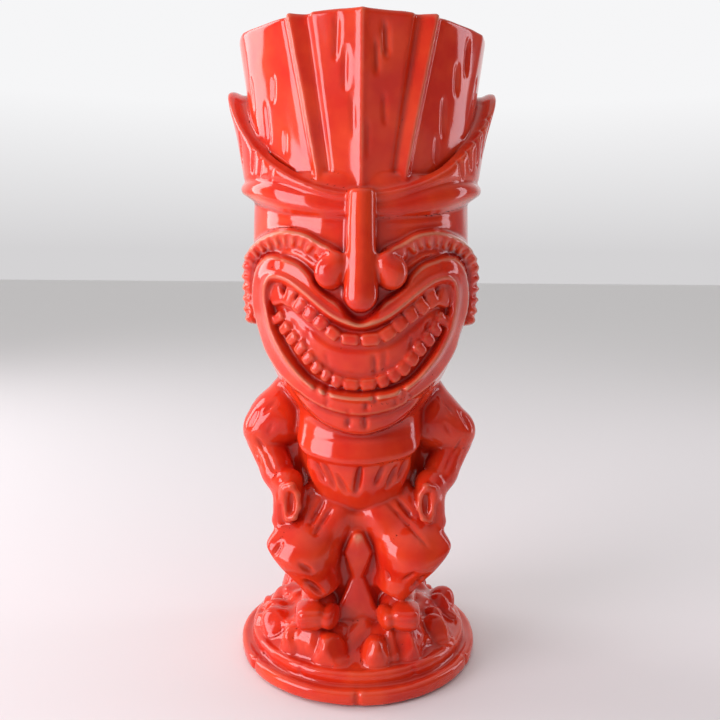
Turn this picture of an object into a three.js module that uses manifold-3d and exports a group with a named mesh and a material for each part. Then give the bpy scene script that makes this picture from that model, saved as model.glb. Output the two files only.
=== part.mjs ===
// Tiki mug: a tall slip-cast drinking cup in the shape of a grinning carved figure that squats
// on a rocky round plinth. Its crown is the cup's rim, and the cup is hollow down to the belly.
// Millimetres, +Z up, the figure faces -Y, and the origin is the centre of the foot's underside.
// The figure's left is +X. Each sculpted element is a mesh of its own, seated on the cup wall or
// on its neighbours with a narrow joint, as a modeller lutes the pieces of the master together.

import * as THREE from "three";
import { mergeVertices } from "three/addons/utils/BufferGeometryUtils.js";
import Module from "manifold-3d";

const wasm = await Module();
wasm.setup();

// ---------------------------------------------------------------- driving dimensions
const JOINT = 0.3; // gap in every joint between two pieces
const WALL = 4.2; // cast wall of the cup

// heights of the stacked stages, from the table up
const FOOT_HEIGHT = 1.2;
const HOOP_HEIGHT = 4.8;
const STEP_HEIGHT = 5;
const MOUND_HEIGHT = 7;
const LEG_HEIGHT = 36.6;
const TORSO_HEIGHT = 25.4;
const HEAD_HEIGHT = 75;
const CROWN_HEIGHT = 45;

// radii, and how far each ring stands in or out from the one that it follows
const HOOP_RADIUS = 40;
const FOOT_INSET = 2.5;
const STEP_SET_BACK = 3.4;
const MOUND_SET_BACK = 2.2;
const TORSO_RADIUS = 21;
const NECK_WALL = 7.4;
const HEAD_RADIUS = 34.8;
const CROWN_INSET = 2.4;
const CROWN_FLARE = 5.8;
const BAND_FLARE = 8.6;

// relief of the face and the body over the skin that it sits on
const MUZZLE_RISE = 3;
const LIP_RISE = 4.2;
const LIP_WIDTH = 2.2;
const TEETH_RISE = 2.6;
const GUM_RISE = 1.2;
const TONGUE_RISE = 1.4;
const CHIN_RISE = 1.6;
const EYE_RISE = 3.4;
const BROW_RISE = 4;
const CHEST_RISE = 5;
const BELLY_RISE = 3.4;
const PANEL_RISE = 1.3;
const PROW_RISE = 3.2;
const RIB_RISE = 2.6;
const NOSE_WIDTH = 8.6;

// stance of the limbs: the knees and the arms from the torso's side, the feet from the middle
const KNEE_INSET = 0.5;
const KNEE_FORWARD = 19;
const FOOT_OUT = 13.6;
const FOOT_LENGTH = 18;
const SHOULDER_REACH = 9;
const ELBOW_REACH = 13;
const HAND_REACH = 3.5;

// limb radii from the body outwards
const THIGH_RADII = [12, 12.5, 10];
const SHIN_RADII = [9.5, 10.5, 9];
const FOOT_RADII = [5.5, 6.8, 7.2];
const UPPER_ARM_RADII = [9, 11.4, 8.5];
const FOREARM_RADII = [6.5, 6.4, 5.4];
const HAND_RADII = [5, 6, 5];
const THUMB_RADII = [3.2, 3.4, 3];

// nicks that make bamboo hoops of the two plinth rings
const NICKS = 6;
const NICK_WIDTH = 0.9;
const NICK_DEPTH = 0.9;

// mesh fineness
const AROUND = 36;
const LIMB_SIDES = 10;
const LIMB_RINGS = 7;

// ---------------------------------------------------------------- levels and radii, worked out
const FOOT_RADIUS = HOOP_RADIUS - FOOT_INSET;
const STEP_RADIUS = HOOP_RADIUS - STEP_SET_BACK;
const MOUND_RADIUS = STEP_RADIUS - MOUND_SET_BACK;
const NECK_BORE = 0.9 * TORSO_RADIUS - NECK_WALL;
const CROWN_FOOT_RADIUS = HEAD_RADIUS - CROWN_INSET;
const RIM_RADIUS = CROWN_FOOT_RADIUS + CROWN_FLARE;
const BAND_RADIUS = HEAD_RADIUS + BAND_FLARE;
const KNEE_OUT = TORSO_RADIUS - KNEE_INSET;
const SHOULDER_OUT = TORSO_RADIUS + SHOULDER_REACH;
const ELBOW_OUT = TORSO_RADIUS + ELBOW_REACH;
const HAND_OUT = TORSO_RADIUS + HAND_REACH;
const HOOP_TOP = FOOT_HEIGHT + HOOP_HEIGHT;
const STEP_TOP = HOOP_TOP + STEP_HEIGHT;
const SOLE = STEP_TOP + MOUND_HEIGHT;
const CROTCH = SOLE + LEG_HEIGHT;
const NECK = CROTCH + TORSO_HEIGHT;
const BROW = NECK + HEAD_HEIGHT;
const RIM = BROW + CROWN_HEIGHT;

// ---------------------------------------------------------------- solids and geometries
/** A closed three.js geometry as a solid. */
function solidOf(geometry) {
  const bare = geometry.clone();
  bare.deleteAttribute("normal");
  bare.deleteAttribute("uv");
  const merged = mergeVertices(bare, 1e-4);
  return new wasm.Manifold(
    new wasm.Mesh({
      numProp: 3,
      vertProperties: merged.attributes.position.array,
      triVerts: new Uint32Array(merged.index.array),
    }),
  );
}

/** A solid as a three.js geometry. */
function geometryOf(solid) {
  const mesh = solid.getMesh();
  const geometry = new THREE.BufferGeometry();
  geometry.setAttribute("position", new THREE.BufferAttribute(mesh.vertProperties, 3));
  geometry.setIndex(new THREE.BufferAttribute(mesh.triVerts, 1));
  geometry.computeVertexNormals();
  return geometry;
}

/** A piece less each of the tools. */
const cut = (piece, ...tools) => tools.reduce((left, tool) => left.subtract(tool), piece);

/** A smooth curve through [height, value] pairs, read by height and level past both ends. */
function through(pairs) {
  const curve = new THREE.SplineCurve(pairs.map(([h, v]) => new THREE.Vector2(h, v)));
  const samples = curve.getPoints(pairs.length * 8);
  return (height) => {
    const next = samples.findIndex((p) => p.x >= height);
    if (next <= 0) return next === 0 ? samples[0].y : samples.at(-1).y;
    const [a, b] = [samples[next - 1], samples[next]];
    return THREE.MathUtils.mapLinear(height, a.x, b.x, a.y, b.y);
  };
}

/** A solid turned about Z from [radius, height] pairs, listed anticlockwise in the half plane. */
function turned(pairs, sides = AROUND) {
  const profile = pairs.map(([r, z]) => new THREE.Vector2(r, z));
  return new THREE.LatheGeometry(profile, sides).rotateX(Math.PI / 2);
}

/** A prism that runs from y = back forwards to y = front, with its outline in X and Z. */
function frontPrism(outline, front, back = 0) {
  const shape = new THREE.Shape(outline.map(([x, z]) => new THREE.Vector2(x, z)));
  const geometry = new THREE.ExtrudeGeometry(shape, { depth: back - front, bevelEnabled: false });
  return solidOf(geometry.rotateX(Math.PI / 2).translate(0, back, 0));
}

/** A prism across X, centred, with its outline in Y and Z and its long edges rounded over. */
function sidePrism(outline, width, round = 0) {
  const shape = new THREE.Shape(outline.map(([y, z]) => new THREE.Vector2(y, z)));
  const geometry = new THREE.ExtrudeGeometry(shape, {
    depth: width - 2 * round,
    bevelEnabled: round > 0,
    bevelSize: round,
    bevelThickness: round,
    bevelOffset: -round,
    bevelSegments: 3,
  });
  geometry.translate(0, 0, round - width / 2);
  return solidOf(geometry.rotateX(Math.PI / 2).rotateZ(Math.PI / 2));
}

/** Points of a smooth outline through the given ones, open or closed. */
function smooth(points, closed = true, perPoint = 2) {
  const curve = new THREE.CatmullRomCurve3(
    points.map(([x, z]) => new THREE.Vector3(x, 0, z)),
    closed,
    "centripetal",
  );
  const count = points.length * perPoint;
  const drawn = curve.getPoints(count).map((p) => [p.x, p.z]);
  return closed ? drawn.slice(0, -1) : drawn;
}

/** A closed outline moved outwards by a distance, or inwards by a negative one. */
function offset(outline, distance) {
  const n = outline.length;
  const area = outline.reduce((sum, [x, z], i) => {
    const [u, w] = outline[(i + 1) % n];
    return sum + x * w - u * z;
  }, 0);
  return outline.map(([x, z], i) => {
    const [ax, az] = outline[(i + n - 1) % n];
    const [bx, bz] = outline[(i + 1) % n];
    const along = new THREE.Vector2(bx - ax, bz - az).normalize();
    const reach = distance * Math.sign(area);
    return [x + along.y * reach, z - along.x * reach];
  });
}

/** Right-hand points of an outline that is the same on both sides, from the top down. */
const bothSides = (half) => [
  ...half,
  ...half
    .filter(([x]) => x > 0)
    .reverse()
    .map(([x, z]) => [-x, z]),
];

/** A rounded limb along a curve: its thickness runs through the radii from end to end. */
function limb(points, radii, flat = 1) {
  const curve = new THREE.CatmullRomCurve3(points.map((p) => new THREE.Vector3(...p)));
  const radius = through(radii.map((r, i) => [i / (radii.length - 1), r]));
  const ball = new THREE.SphereGeometry(1, LIMB_SIDES, LIMB_RINGS);
  const { position, uv } = ball.attributes;
  const sideways = new THREE.Vector3(1, 0, 0);
  for (let i = 0; i < position.count; i++) {
    const turn = Math.PI * (1 - uv.getY(i));
    const along = (1 - Math.cos(turn)) / 2;
    const girth = Math.max(Math.sin(turn), 0) ** 0.7 * radius(along);
    const tangent = curve.getTangent(along);
    const across = new THREE.Vector3().crossVectors(sideways, tangent).normalize();
    const over = new THREE.Vector3().crossVectors(tangent, across);
    const angle = Math.round(uv.getX(i) * LIMB_SIDES) * ((2 * Math.PI) / LIMB_SIDES);
    const point = curve
      .getPoint(along)
      .addScaledVector(over, girth * Math.cos(angle))
      .addScaledVector(across, girth * flat * Math.sin(angle));
    position.setXYZ(i, ...point.toArray());
  }
  return ball;
}

/** An ellipsoid. */
function ellipsoid([x, y, z], [rx, ry, rz]) {
  const ball = new THREE.SphereGeometry(1, LIMB_SIDES, LIMB_RINGS);
  return ball.scale(rx, ry, rz).translate(x, y, z);
}

/** The same closed shape with its surface moved out by the joint. */
function grown(geometry) {
  const bare = geometry.clone();
  bare.deleteAttribute("normal");
  bare.deleteAttribute("uv");
  const merged = mergeVertices(bare, 1e-4);
  merged.computeVertexNormals();
  const { position, normal } = merged.attributes;
  for (let i = 0; i < position.count; i++) {
    const out = new THREE.Vector3().fromBufferAttribute(normal, i).multiplyScalar(1.2 * JOINT);
    const point = new THREE.Vector3().fromBufferAttribute(position, i).add(out);
    position.setXYZ(i, ...point.toArray());
  }
  return solidOf(merged);
}

// ---------------------------------------------------------------- the two skins
// A skin is a body of revolution whose front half is stretched forwards. The head's and the
// torso's walls are cut from one, and the relief is seated on it.

const headOut = through([
  [NECK, 0.45 * HEAD_RADIUS],
  [NECK + 0.055 * HEAD_HEIGHT, 0.58 * HEAD_RADIUS],
  [NECK + 0.14 * HEAD_HEIGHT, 0.72 * HEAD_RADIUS],
  [NECK + 0.24 * HEAD_HEIGHT, 0.835 * HEAD_RADIUS],
  [NECK + 0.35 * HEAD_HEIGHT, 0.92 * HEAD_RADIUS],
  [NECK + 0.5 * HEAD_HEIGHT, 0.985 * HEAD_RADIUS],
  [NECK + 0.75 * HEAD_HEIGHT, HEAD_RADIUS],
  [BROW, 0.985 * HEAD_RADIUS],
]);
const headForward = through([
  [NECK, 1.5],
  [NECK + 0.055 * HEAD_HEIGHT, 1.38],
  [NECK + 0.14 * HEAD_HEIGHT, 1.25],
  [NECK + 0.24 * HEAD_HEIGHT, 1.13],
  [NECK + 0.5 * HEAD_HEIGHT, 1.04],
  [BROW, 1],
]);
const torsoOut = through([
  [CROTCH - 4, 0.55 * TORSO_RADIUS],
  [CROTCH + 0.1 * TORSO_HEIGHT, 0.8 * TORSO_RADIUS],
  [CROTCH + 0.35 * TORSO_HEIGHT, 0.95 * TORSO_RADIUS],
  [CROTCH + 0.7 * TORSO_HEIGHT, TORSO_RADIUS],
  [NECK, 0.9 * TORSO_RADIUS],
]);

/** Levels from low to high, closer together than step. */
const levels = (low, high, count) =>
  Array.from({ length: count + 1 }, (_, i) => low + ((high - low) * i) / count);

/** The solid inside a skin that is moved out by lift. */
function core(out, forward, heights, lift) {
  const top = heights.at(-1);
  const wall = heights.map((z) => [out(z) + lift, z]);
  const geometry = turned([[0, heights[0]], ...wall, [0, top]]);
  return solidOf(stretched(geometry, forward));
}

/** Pushes the front half of a geometry forwards by a factor that depends on height. */
function stretched(geometry, forward) {
  const { position } = geometry.attributes;
  for (let i = 0; i < position.count; i++) {
    const y = position.getY(i);
    if (y < 0) position.setY(i, y * forward(position.getZ(i)));
  }
  return geometry;
}

const headHeights = levels(NECK, BROW, 8);
const torsoHeights = levels(CROTCH - 4, NECK - JOINT, 5);
const seatHeights = [CROTCH - 4 - JOINT, ...torsoHeights.slice(1, -1), NECK + 8];
const evenly = () => 1;
const torsoForward = () => 1.08;

const headCore = (lift) => core(headOut, headForward, headHeights, lift);
const torsoCore = (lift) => core(torsoOut, torsoForward, torsoHeights, lift);
const headSeat = headCore(JOINT);
const torsoSeat = core(torsoOut, torsoForward, seatHeights, JOINT);
const torsoRaised = (lift) => core(torsoOut, torsoForward, seatHeights, lift);

/** Everything from the table up to a level. */
function below(top) {
  const reach = 2 * HOOP_RADIUS;
  return solidOf(
    turned([
      [0, 0],
      [reach, 0],
      [reach, top],
      [0, top],
    ]),
  );
}

/** Relief on a skin: what the outline's prism holds between the seat and the raised skin. */
function relief(outline, raised, seat, back = 0) {
  return frontPrism(outline, -2 * HEAD_RADIUS, back).intersect(raised).subtract(seat);
}

// ---------------------------------------------------------------- plinth
const bevel = 1.6;

/** A hoop with bevelled edges between two levels, nicked into lengths like bamboo. */
function hoop(radius, low, high, firstNick) {
  const ring = solidOf(
    turned([
      [0, low],
      [radius - bevel, low],
      [radius, low + bevel],
      [radius, high - bevel],
      [radius - bevel, high],
      [0, high],
    ]),
  );
  const nicks = Array.from({ length: NICKS }, (_, i) => {
    const slot = new THREE.BoxGeometry(NICK_WIDTH, 2 * NICK_DEPTH, 2 * (high - low));
    const turn = firstNick + (i * 2 * Math.PI) / NICKS;
    return solidOf(slot.translate(0, -radius, (low + high) / 2).rotateZ(turn));
  });
  return cut(ring, ...nicks);
}

/** The flat foot of bare clay that the mug stands on. */
function foot() {
  const top = FOOT_HEIGHT - JOINT;
  return solidOf(
    turned([
      [0, 0],
      [FOOT_RADIUS - 0.5, 0],
      [FOOT_RADIUS, 0.5],
      [FOOT_RADIUS, top],
      [0, top],
    ]),
  );
}

/** The heap that the feet and the stones rest in, with its face moved out by lift. */
function heap(lift) {
  const low = STEP_TOP + JOINT - lift;
  return solidOf(
    turned([
      [0, low],
      [0.9 * MOUND_RADIUS + lift, low],
      [0.84 * MOUND_RADIUS + lift, STEP_TOP + 0.4 * MOUND_HEIGHT + lift],
      [0.62 * MOUND_RADIUS + lift, STEP_TOP + 0.85 * MOUND_HEIGHT + lift],
      [0, SOLE + lift],
    ]),
  );
}

// stones round the mound: compass angle from the front, then half sizes across, deep and high
const STONES = [
  [-17, 7, 5.4, 6.6],
  [10.5, 5.4, 5, 6],
  [31, 6.6, 5, 6],
  [-42, 5.4, 4.6, 5.2],
  [-68, 6.4, 5, 5.4],
  [58, 5.4, 4.6, 5],
  [98, 6.6, 5, 5.6],
  [148, 6.8, 5.2, 6],
  [-126, 6.6, 5, 6],
];

/** One rough stone, half sunk in the rim of the mound. */
function stoneGeometry([compass, across, deep, high]) {
  const stone = new THREE.IcosahedronGeometry(1, 0);
  const reach = MOUND_RADIUS + 1 - deep;
  const turn = THREE.MathUtils.degToRad(compass);
  return stone
    .rotateZ(2 * turn)
    .scale(across, deep, high)
    .translate(0, -reach, STEP_TOP + 0.42 * MOUND_HEIGHT)
    .rotateZ(turn);
}

// ---------------------------------------------------------------- legs
const KNEE = SOLE + 0.46 * LEG_HEIGHT;
const ANKLE = SOLE + 0.2 * LEG_HEIGHT;

const thighGeometry = (side) =>
  limb(
    [
      [side * 8, 9, CROTCH - 1],
      [side * 0.66 * KNEE_OUT, -0.52 * KNEE_FORWARD, CROTCH - 4],
      [side * KNEE_OUT, -KNEE_FORWARD - 1, KNEE - 7],
    ],
    THIGH_RADII,
  );
const shinGeometry = (side) =>
  limb(
    [
      [side * KNEE_OUT, -0.9 * KNEE_FORWARD, KNEE + 3],
      [side * 0.86 * KNEE_OUT, -0.85 * KNEE_FORWARD, KNEE - 5],
      [side * 0.9 * FOOT_OUT, -0.78 * KNEE_FORWARD, ANKLE - 3.5],
    ],
    SHIN_RADII,
  );
const footGeometry = (side) =>
  limb(
    [
      [side * 0.85 * FOOT_OUT, -0.4 * KNEE_FORWARD, SOLE + 3.2],
      [side * FOOT_OUT, -0.4 * KNEE_FORWARD - 0.55 * FOOT_LENGTH, SOLE + 3.6],
      [side * 1.06 * FOOT_OUT, -0.4 * KNEE_FORWARD - FOOT_LENGTH - 3, SOLE + 1.2],
    ],
    FOOT_RADII,
    0.72,
  );

/** The stump behind and between the legs that carries the body. */
function stumpGeometry() {
  const radius = 0.86 * TORSO_RADIUS;
  return turned([
    [0, SOLE - 3],
    [1.14 * radius, SOLE - 3],
    [1.02 * radius, SOLE + 0.2 * LEG_HEIGHT],
    [0.96 * radius, SOLE + 0.6 * LEG_HEIGHT],
    [0.8 * radius, CROTCH - 4 - JOINT],
    [0, CROTCH - 4 - JOINT],
  ]).translate(0, 0.3 * TORSO_RADIUS, 0);
}

/** The faceted wedge that shows between the shins. */
const wedgeGeometry = () =>
  new THREE.CylinderGeometry(4, 6.5, LEG_HEIGHT - 8, 6)
    .rotateX(Math.PI / 2)
    .scale(1, 1.5, 1)
    .translate(0, -0.42 * TORSO_RADIUS, SOLE + (LEG_HEIGHT - 8) / 2);

// ---------------------------------------------------------------- arms
const SHOULDER = NECK + 3;
const ELBOW = CROTCH + 0.72 * TORSO_HEIGHT;
const WRIST = CROTCH + 0.12 * TORSO_HEIGHT;

const upperArmGeometry = (side) =>
  limb(
    [
      [side * (SHOULDER_OUT - 4), 1, SHOULDER + 13],
      [side * SHOULDER_OUT, -3, SHOULDER + 2],
      [side * (ELBOW_OUT - 0.5), -4, ELBOW - 3],
    ],
    UPPER_ARM_RADII,
  );
const forearmGeometry = (side) =>
  limb(
    [
      [side * (ELBOW_OUT + 0.5), -3, ELBOW + 3],
      [side * (0.5 * (ELBOW_OUT + HAND_OUT) + 1), -9, 0.5 * (ELBOW + WRIST)],
      [side * HAND_OUT, -14, WRIST - 3],
    ],
    FOREARM_RADII,
  );
const handGeometry = (side) =>
  limb(
    [
      [side * (HAND_OUT - 1), -12, WRIST + 5],
      [side * (HAND_OUT + 0.5), -19, WRIST - 1],
      [side * (HAND_OUT + 1.5), -20, WRIST - 11],
    ],
    HAND_RADII,
  );
const thumbGeometry = (side) =>
  limb(
    [
      [side * (HAND_OUT - 4), -17, WRIST + 5],
      [side * (HAND_OUT - 5.5), -23.5, WRIST + 2],
      [side * (HAND_OUT - 4), -26, WRIST - 6],
    ],
    THUMB_RADII,
  );

/** The web of clay that fills the crook between an arm and the torso. */
const webGeometry = (side) =>
  ellipsoid([side * 0.74 * SHOULDER_OUT, 2, CROTCH + 0.5 * TORSO_HEIGHT], [11, 9.5, 17]);

// ---------------------------------------------------------------- cup walls
/** The belly of the cup: closed below, open at the neck, with a level floor inside. */
function torsoWall() {
  const floor = CROTCH + WALL;
  const bore = turned([
    [0, floor],
    [torsoOut(floor) - WALL - 2, floor],
    [torsoOut(floor + 4) - WALL, floor + 4],
    [TORSO_RADIUS - WALL, CROTCH + 0.6 * TORSO_HEIGHT],
    [NECK_BORE, NECK - 2],
    [NECK_BORE, NECK + 1],
    [0, NECK + 1],
  ]);
  return cut(torsoCore(0), solidOf(bore));
}

/** The head of the cup: a bowl that opens into the neck below and the crown above. */
function headWall() {
  const every = headHeights.filter((_, i) => i % 2 === 0);
  const bore = every.map((z) => [Math.max(NECK_BORE, headOut(z) - WALL), z + 0.25 * WALL]);
  const [, low] = bore[0];
  bore[0] = [NECK_BORE, low];
  const cavity = turned([[0, NECK - 1], [NECK_BORE, NECK - 1], ...bore, [0, bore.at(-1)[1]]]);
  return cut(headCore(0), solidOf(cavity));
}

const crownOut = (z) => {
  const share = (z - BROW) / CROWN_HEIGHT;
  return CROWN_FOOT_RADIUS + share * (RIM_RADIUS - CROWN_FOOT_RADIUS);
};

/** The crown of the cup: a flared wall with a rounded lip. */
function crownWall() {
  const low = BROW + JOINT;
  const lip = WALL / 3;
  return solidOf(
    turned([
      [HEAD_RADIUS - WALL - 1, low],
      [crownOut(low), low],
      [crownOut(RIM - lip), RIM - lip],
      [RIM_RADIUS - lip, RIM],
      [RIM_RADIUS - WALL + lip, RIM],
      [RIM_RADIUS - WALL, RIM - lip],
      [HEAD_RADIUS - WALL - 1, low],
    ]),
  );
}

// ---------------------------------------------------------------- crown panels
const FAN = 10.7; // degrees by which a panel's edges lean, most at 45 degrees from the front
const PANEL_FOOT = BROW + JOINT;

/** Where a crown edge that meets the rim at this angle meets the crown's foot, in degrees. */
const footAngle = (angle) => angle - FAN * Math.sin(THREE.MathUtils.degToRad(2 * angle));

/** A tapered wedge on the crown, through [degrees from the front, rise] along its face. */
function crownWedge(face, top = RIM - WALL / 3) {
  const ring = (z, lean) => {
    const outer = face.map(([angle, rise]) => polar(lean(angle), crownOut(z) + rise, z));
    const inner = [face.at(-1), face[0]].map(([angle]) => polar(lean(angle), 0.86 * crownOut(z), z));
    return [...outer, ...inner];
  };
  return prismBetween(ring(PANEL_FOOT, footAngle), ring(top, (angle) => angle));
}

/** A point at an angle from the front, in degrees, towards the figure's left. */
function polar(degrees, radius, z) {
  const turn = THREE.MathUtils.degToRad(degrees);
  return new THREE.Vector3(radius * Math.sin(turn), -radius * Math.cos(turn), z);
}

/** The closed body between a low and a high ring of as many points, anticlockwise from above. */
function prismBetween(low, high) {
  const n = low.length;
  const geometry = new THREE.BufferGeometry().setFromPoints([...low, ...high]);
  const faces = THREE.ShapeUtils.triangulateShape(
    low.map((p) => new THREE.Vector2(p.x, p.y)),
    [],
  );
  const index = [];
  for (const [a, b, c] of faces) index.push(a, c, b, n + a, n + b, n + c);
  for (let i = 0; i < n; i++) {
    const j = (i + 1) % n;
    index.push(i, j, n + j, i, n + j, n + i);
  }
  return geometry.setIndex(index);
}

// rim angles, in degrees from the front, of the ribs and of the soft edges between the panels
const RIB = [25.5, 31.5];
const SIDE_EDGE = 66;

/** The solid inside the crown's face when that is moved out by lift. */
const crownCore = (lift) =>
  solidOf(
    turned([
      [0, BROW - 2],
      [crownOut(BROW - 2) + lift, BROW - 2],
      [crownOut(RIM + 2) + lift, RIM + 2],
      [0, RIM + 2],
    ]),
  );
const crownSeat = crownCore(JOINT);
const bandSeat = crownCore(PANEL_RISE + 2 * JOINT);
const EDGE = 0.35; // degrees of joint on each side of a crown panel

const crownPieces = {};
for (const [end, turn] of [
  ["front", 0],
  ["back", 180],
]) {
  const at = (angle) => turn + angle;
  crownPieces[`${end}_prow`] = [
    [at(-RIB[0] + EDGE), PANEL_RISE],
    [at(-13), 0.62 * PROW_RISE],
    [at(0), PROW_RISE],
    [at(13), 0.62 * PROW_RISE],
    [at(RIB[0] - EDGE), PANEL_RISE],
  ];
  for (const [hand, side] of [
    ["left", 1],
    ["right", -1],
  ]) {
    const way = side * (end === "front" ? 1 : -1);
    const between = (from, to, rises) => {
      const stops = rises.map((rise, i) => [
        at(way * THREE.MathUtils.lerp(from, to, i / (rises.length - 1))),
        rise,
      ]);
      return way > 0 ? stops : stops.reverse();
    };
    crownPieces[`${end}_${hand}_rib`] = between(RIB[0] + EDGE, RIB[1] - EDGE, [
      0.7 * RIB_RISE,
      RIB_RISE,
      PANEL_RISE,
    ]);
    crownPieces[`${end}_${hand}_panel`] = between(RIB[1] + EDGE, SIDE_EDGE - EDGE, [
      0.6 * PANEL_RISE,
      PANEL_RISE,
      PANEL_RISE,
      PANEL_RISE,
    ]);
  }
}
for (const [hand, side] of [
  ["left", 1],
  ["right", -1],
]) {
  const span = [SIDE_EDGE + EDGE, 78, 90, 102, 180 - SIDE_EDGE - EDGE];
  const stops = span.map((angle) => [side * angle, PANEL_RISE]);
  crownPieces[`side_${hand}_panel`] = side > 0 ? stops : stops.reverse();
}

const crownGeometries = Object.entries(crownPieces).map(([name, face]) => [
  `crown_${name}`,
  crownWedge(face),
]);

// ---------------------------------------------------------------- headband
const BAND_DROP = 37; // how far the band's edge falls from its level back to the brow in front
const BAND_TOP = RIM - 13;
const BAND_FOOT = BROW - 5;

/** The flared band round the crown, cut level behind and sloped down to the brow in front. */
function headband(tools) {
  const ring = solidOf(
    turned([
      [HEAD_RADIUS - WALL, BAND_FOOT],
      [HEAD_RADIUS + 1.8, BAND_FOOT],
      [HEAD_RADIUS + 2.9, BROW + 4],
      [0.5 * (HEAD_RADIUS + BAND_RADIUS) + 0.6, BROW + 0.5 * (BAND_TOP - BROW)],
      [BAND_RADIUS, BAND_TOP - 1.2],
      [BAND_RADIUS - 1, BAND_TOP],
      [HEAD_RADIUS - WALL, BAND_TOP],
      [HEAD_RADIUS - WALL, BAND_FOOT],
    ]),
  );
  const front = BAND_TOP - BAND_DROP;
  const slope = BAND_DROP / (BAND_RADIUS - 4);
  const above = sidePrism(
    [
      [-2 * BAND_RADIUS, front - slope * (BAND_RADIUS + 4)],
      [-4, BAND_TOP - 4],
      [-1, BAND_TOP - 1.4],
      [3, BAND_TOP + 0.2],
      [3, RIM + 10],
      [-2 * BAND_RADIUS, RIM + 10],
    ],
    4 * BAND_RADIUS,
  );
  return cut(ring, above, headSeat, bandSeat, ...tools);
}

// ---------------------------------------------------------------- face
// Face outlines are drawn on a grid 35 across, from the centre line to the side of the head,
// and 75 up, from the chin to the brow. They are stretched to the head's own size.
const GRID_ACROSS = 35;
const GRID_UP = 75;
const onFace = ([x, z]) => [(x * HEAD_RADIUS) / GRID_ACROSS, NECK + (z * HEAD_HEIGHT) / GRID_UP];
const faceHeight = (z) => onFace([0, z])[1];
const mirrored = (points, side) => points.map(([x, z]) => [side * x, z]);

const mouthEdge = smooth(
  bothSides([
    [0, 35.2],
    [8.4, 38.2],
    [17.1, 45],
    [24, 48.3],
    [28.4, 47],
    [30, 43],
    [29.5, 37],
    [26.6, 29.5],
    [20.3, 21.3],
    [12.3, 15.4],
    [0, 13.4],
  ]).map(onFace),
);
const muzzleEdge = smooth(
  bothSides([
    [0, 35],
    [3.4, 37.4],
    [6.1, 41],
    [12.3, 46.5],
    [16.2, 52],
    [22, 54.8],
    [28.6, 54.6],
    [33.4, 50.5],
    [34.9, 43],
    [34.2, 34.3],
    [30.5, 25],
    [21.5, 13.8],
    [11, 8.8],
    [0, 7.2],
  ]).map(onFace),
);
const chinEdge = smooth(
  bothSides([
    [0, 16],
    [14, 17],
    [27.6, 21],
    [23.4, 13.6],
    [16.4, 6],
    [8.6, 2],
    [0, 0.6],
  ]).map(onFace),
);
const tongueEdge = smooth(
  bothSides([
    [0, 27.4],
    [10, 30.4],
    [19.2, 36.6],
    [21.2, 36],
    [18.6, 31.8],
    [13.8, 26.6],
    [7.4, 22.4],
    [0, 20.8],
  ]).map(onFace),
);
const eyeEdge = [
  [6.4, 55.4],
  [11.3, 59],
  [17.5, 62],
  [23.6, 62.4],
  [28.3, 61.2],
  [33.5, 58.2],
  [39, 53],
  [46, 47],
  [46, 31],
  [39, 33],
  [35, 35],
  [30, 45],
  [18, 47],
  [6.4, 49],
].map(onFace);
const browEdge = [
  [2, 66],
  [14, 66],
  [22.4, 67.2],
  [29, 69.2],
  [35, 71.4],
  [46, 73],
  [46, 78.6],
  [36, 78.4],
  [23.4, 75.6],
  [14.4, 72.4],
  [2, 69.4],
].map(onFace);
const GUM_UP = [
  [0, 31],
  [6.2, 32.2],
  [11.5, 35.4],
  [17.4, 40],
  [21.5, 42.8],
  [25.2, 43],
].map(onFace);
const GUM_DOWN = [
  [0, 17.4],
  [6.5, 18.1],
  [12.1, 20.8],
  [18, 26.2],
  [22.4, 32],
  [25.6, 37.2],
].map(onFace);

const noseSide = [
  [-0.9 * HEAD_RADIUS, BROW + 2.6],
  [-HEAD_RADIUS - 3.6, BROW + 2.6],
  [-HEAD_RADIUS - 6.4, BROW - 1],
  [-HEAD_RADIUS - 7, faceHeight(56)],
  [-HEAD_RADIUS - 9.2, faceHeight(45)],
  [-HEAD_RADIUS - 9.8, faceHeight(41.6)],
  [-HEAD_RADIUS - 8, faceHeight(39.4)],
  [-HEAD_RADIUS - 4, faceHeight(38.8)],
  [-0.9 * HEAD_RADIUS, faceHeight(38.8)],
];
const nose = cut(sidePrism(noseSide, NOSE_WIDTH, 1.8), headSeat, crownSeat);
const noseTool = sidePrism(offset(noseSide, JOINT), NOSE_WIDTH + 2 * JOINT, 1.5);

const nostrilGeometry = (side) =>
  ellipsoid(
    [side * (0.5 * NOSE_WIDTH + 3.9), -HEAD_RADIUS - 1.8, faceHeight(49.6)],
    [4.8, 4.4, faceHeight(55.9) - faceHeight(49.6)],
  );

/** A row of teeth that stand in a strip of gum along half a curve and its mirror image. */
function teeth(halfCurve, count, high) {
  const half = new THREE.SplineCurve(halfCurve.map(([x, z]) => new THREE.Vector2(x, z)));
  const centre = half.getSpacedPoints(2 * count);
  const thin = 0.3 * high;
  const strip = [
    ...centre.map((p, i) => edgeOf(half, i / (2 * count), p, thin)),
    ...centre.map((p, i) => edgeOf(half, i / (2 * count), p, -thin)).reverse(),
  ];
  const gums = [1, -1].map((side) => frontPrism(mirrored(strip, side), -2 * HEAD_RADIUS));
  let row = gums[0].add(gums[1]).intersect(headCore(GUM_RISE));
  for (const side of [1, -1]) {
    for (let i = 0; i < count; i++) {
      const at = half.getPointAt((i + 0.5) / count);
      const along = half.getTangentAt((i + 0.5) / count);
      const wide = half.getLength() / count - 2 * JOINT;
      const block = new THREE.BoxGeometry(wide, 2 * HEAD_RADIUS, high);
      block.rotateY(-Math.atan2(along.y, along.x));
      const tooth = solidOf(placed(block, side, at));
      row = row.add(tooth.intersect(headCore(TEETH_RISE)));
    }
  }
  return row.subtract(headSeat);
}

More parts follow.
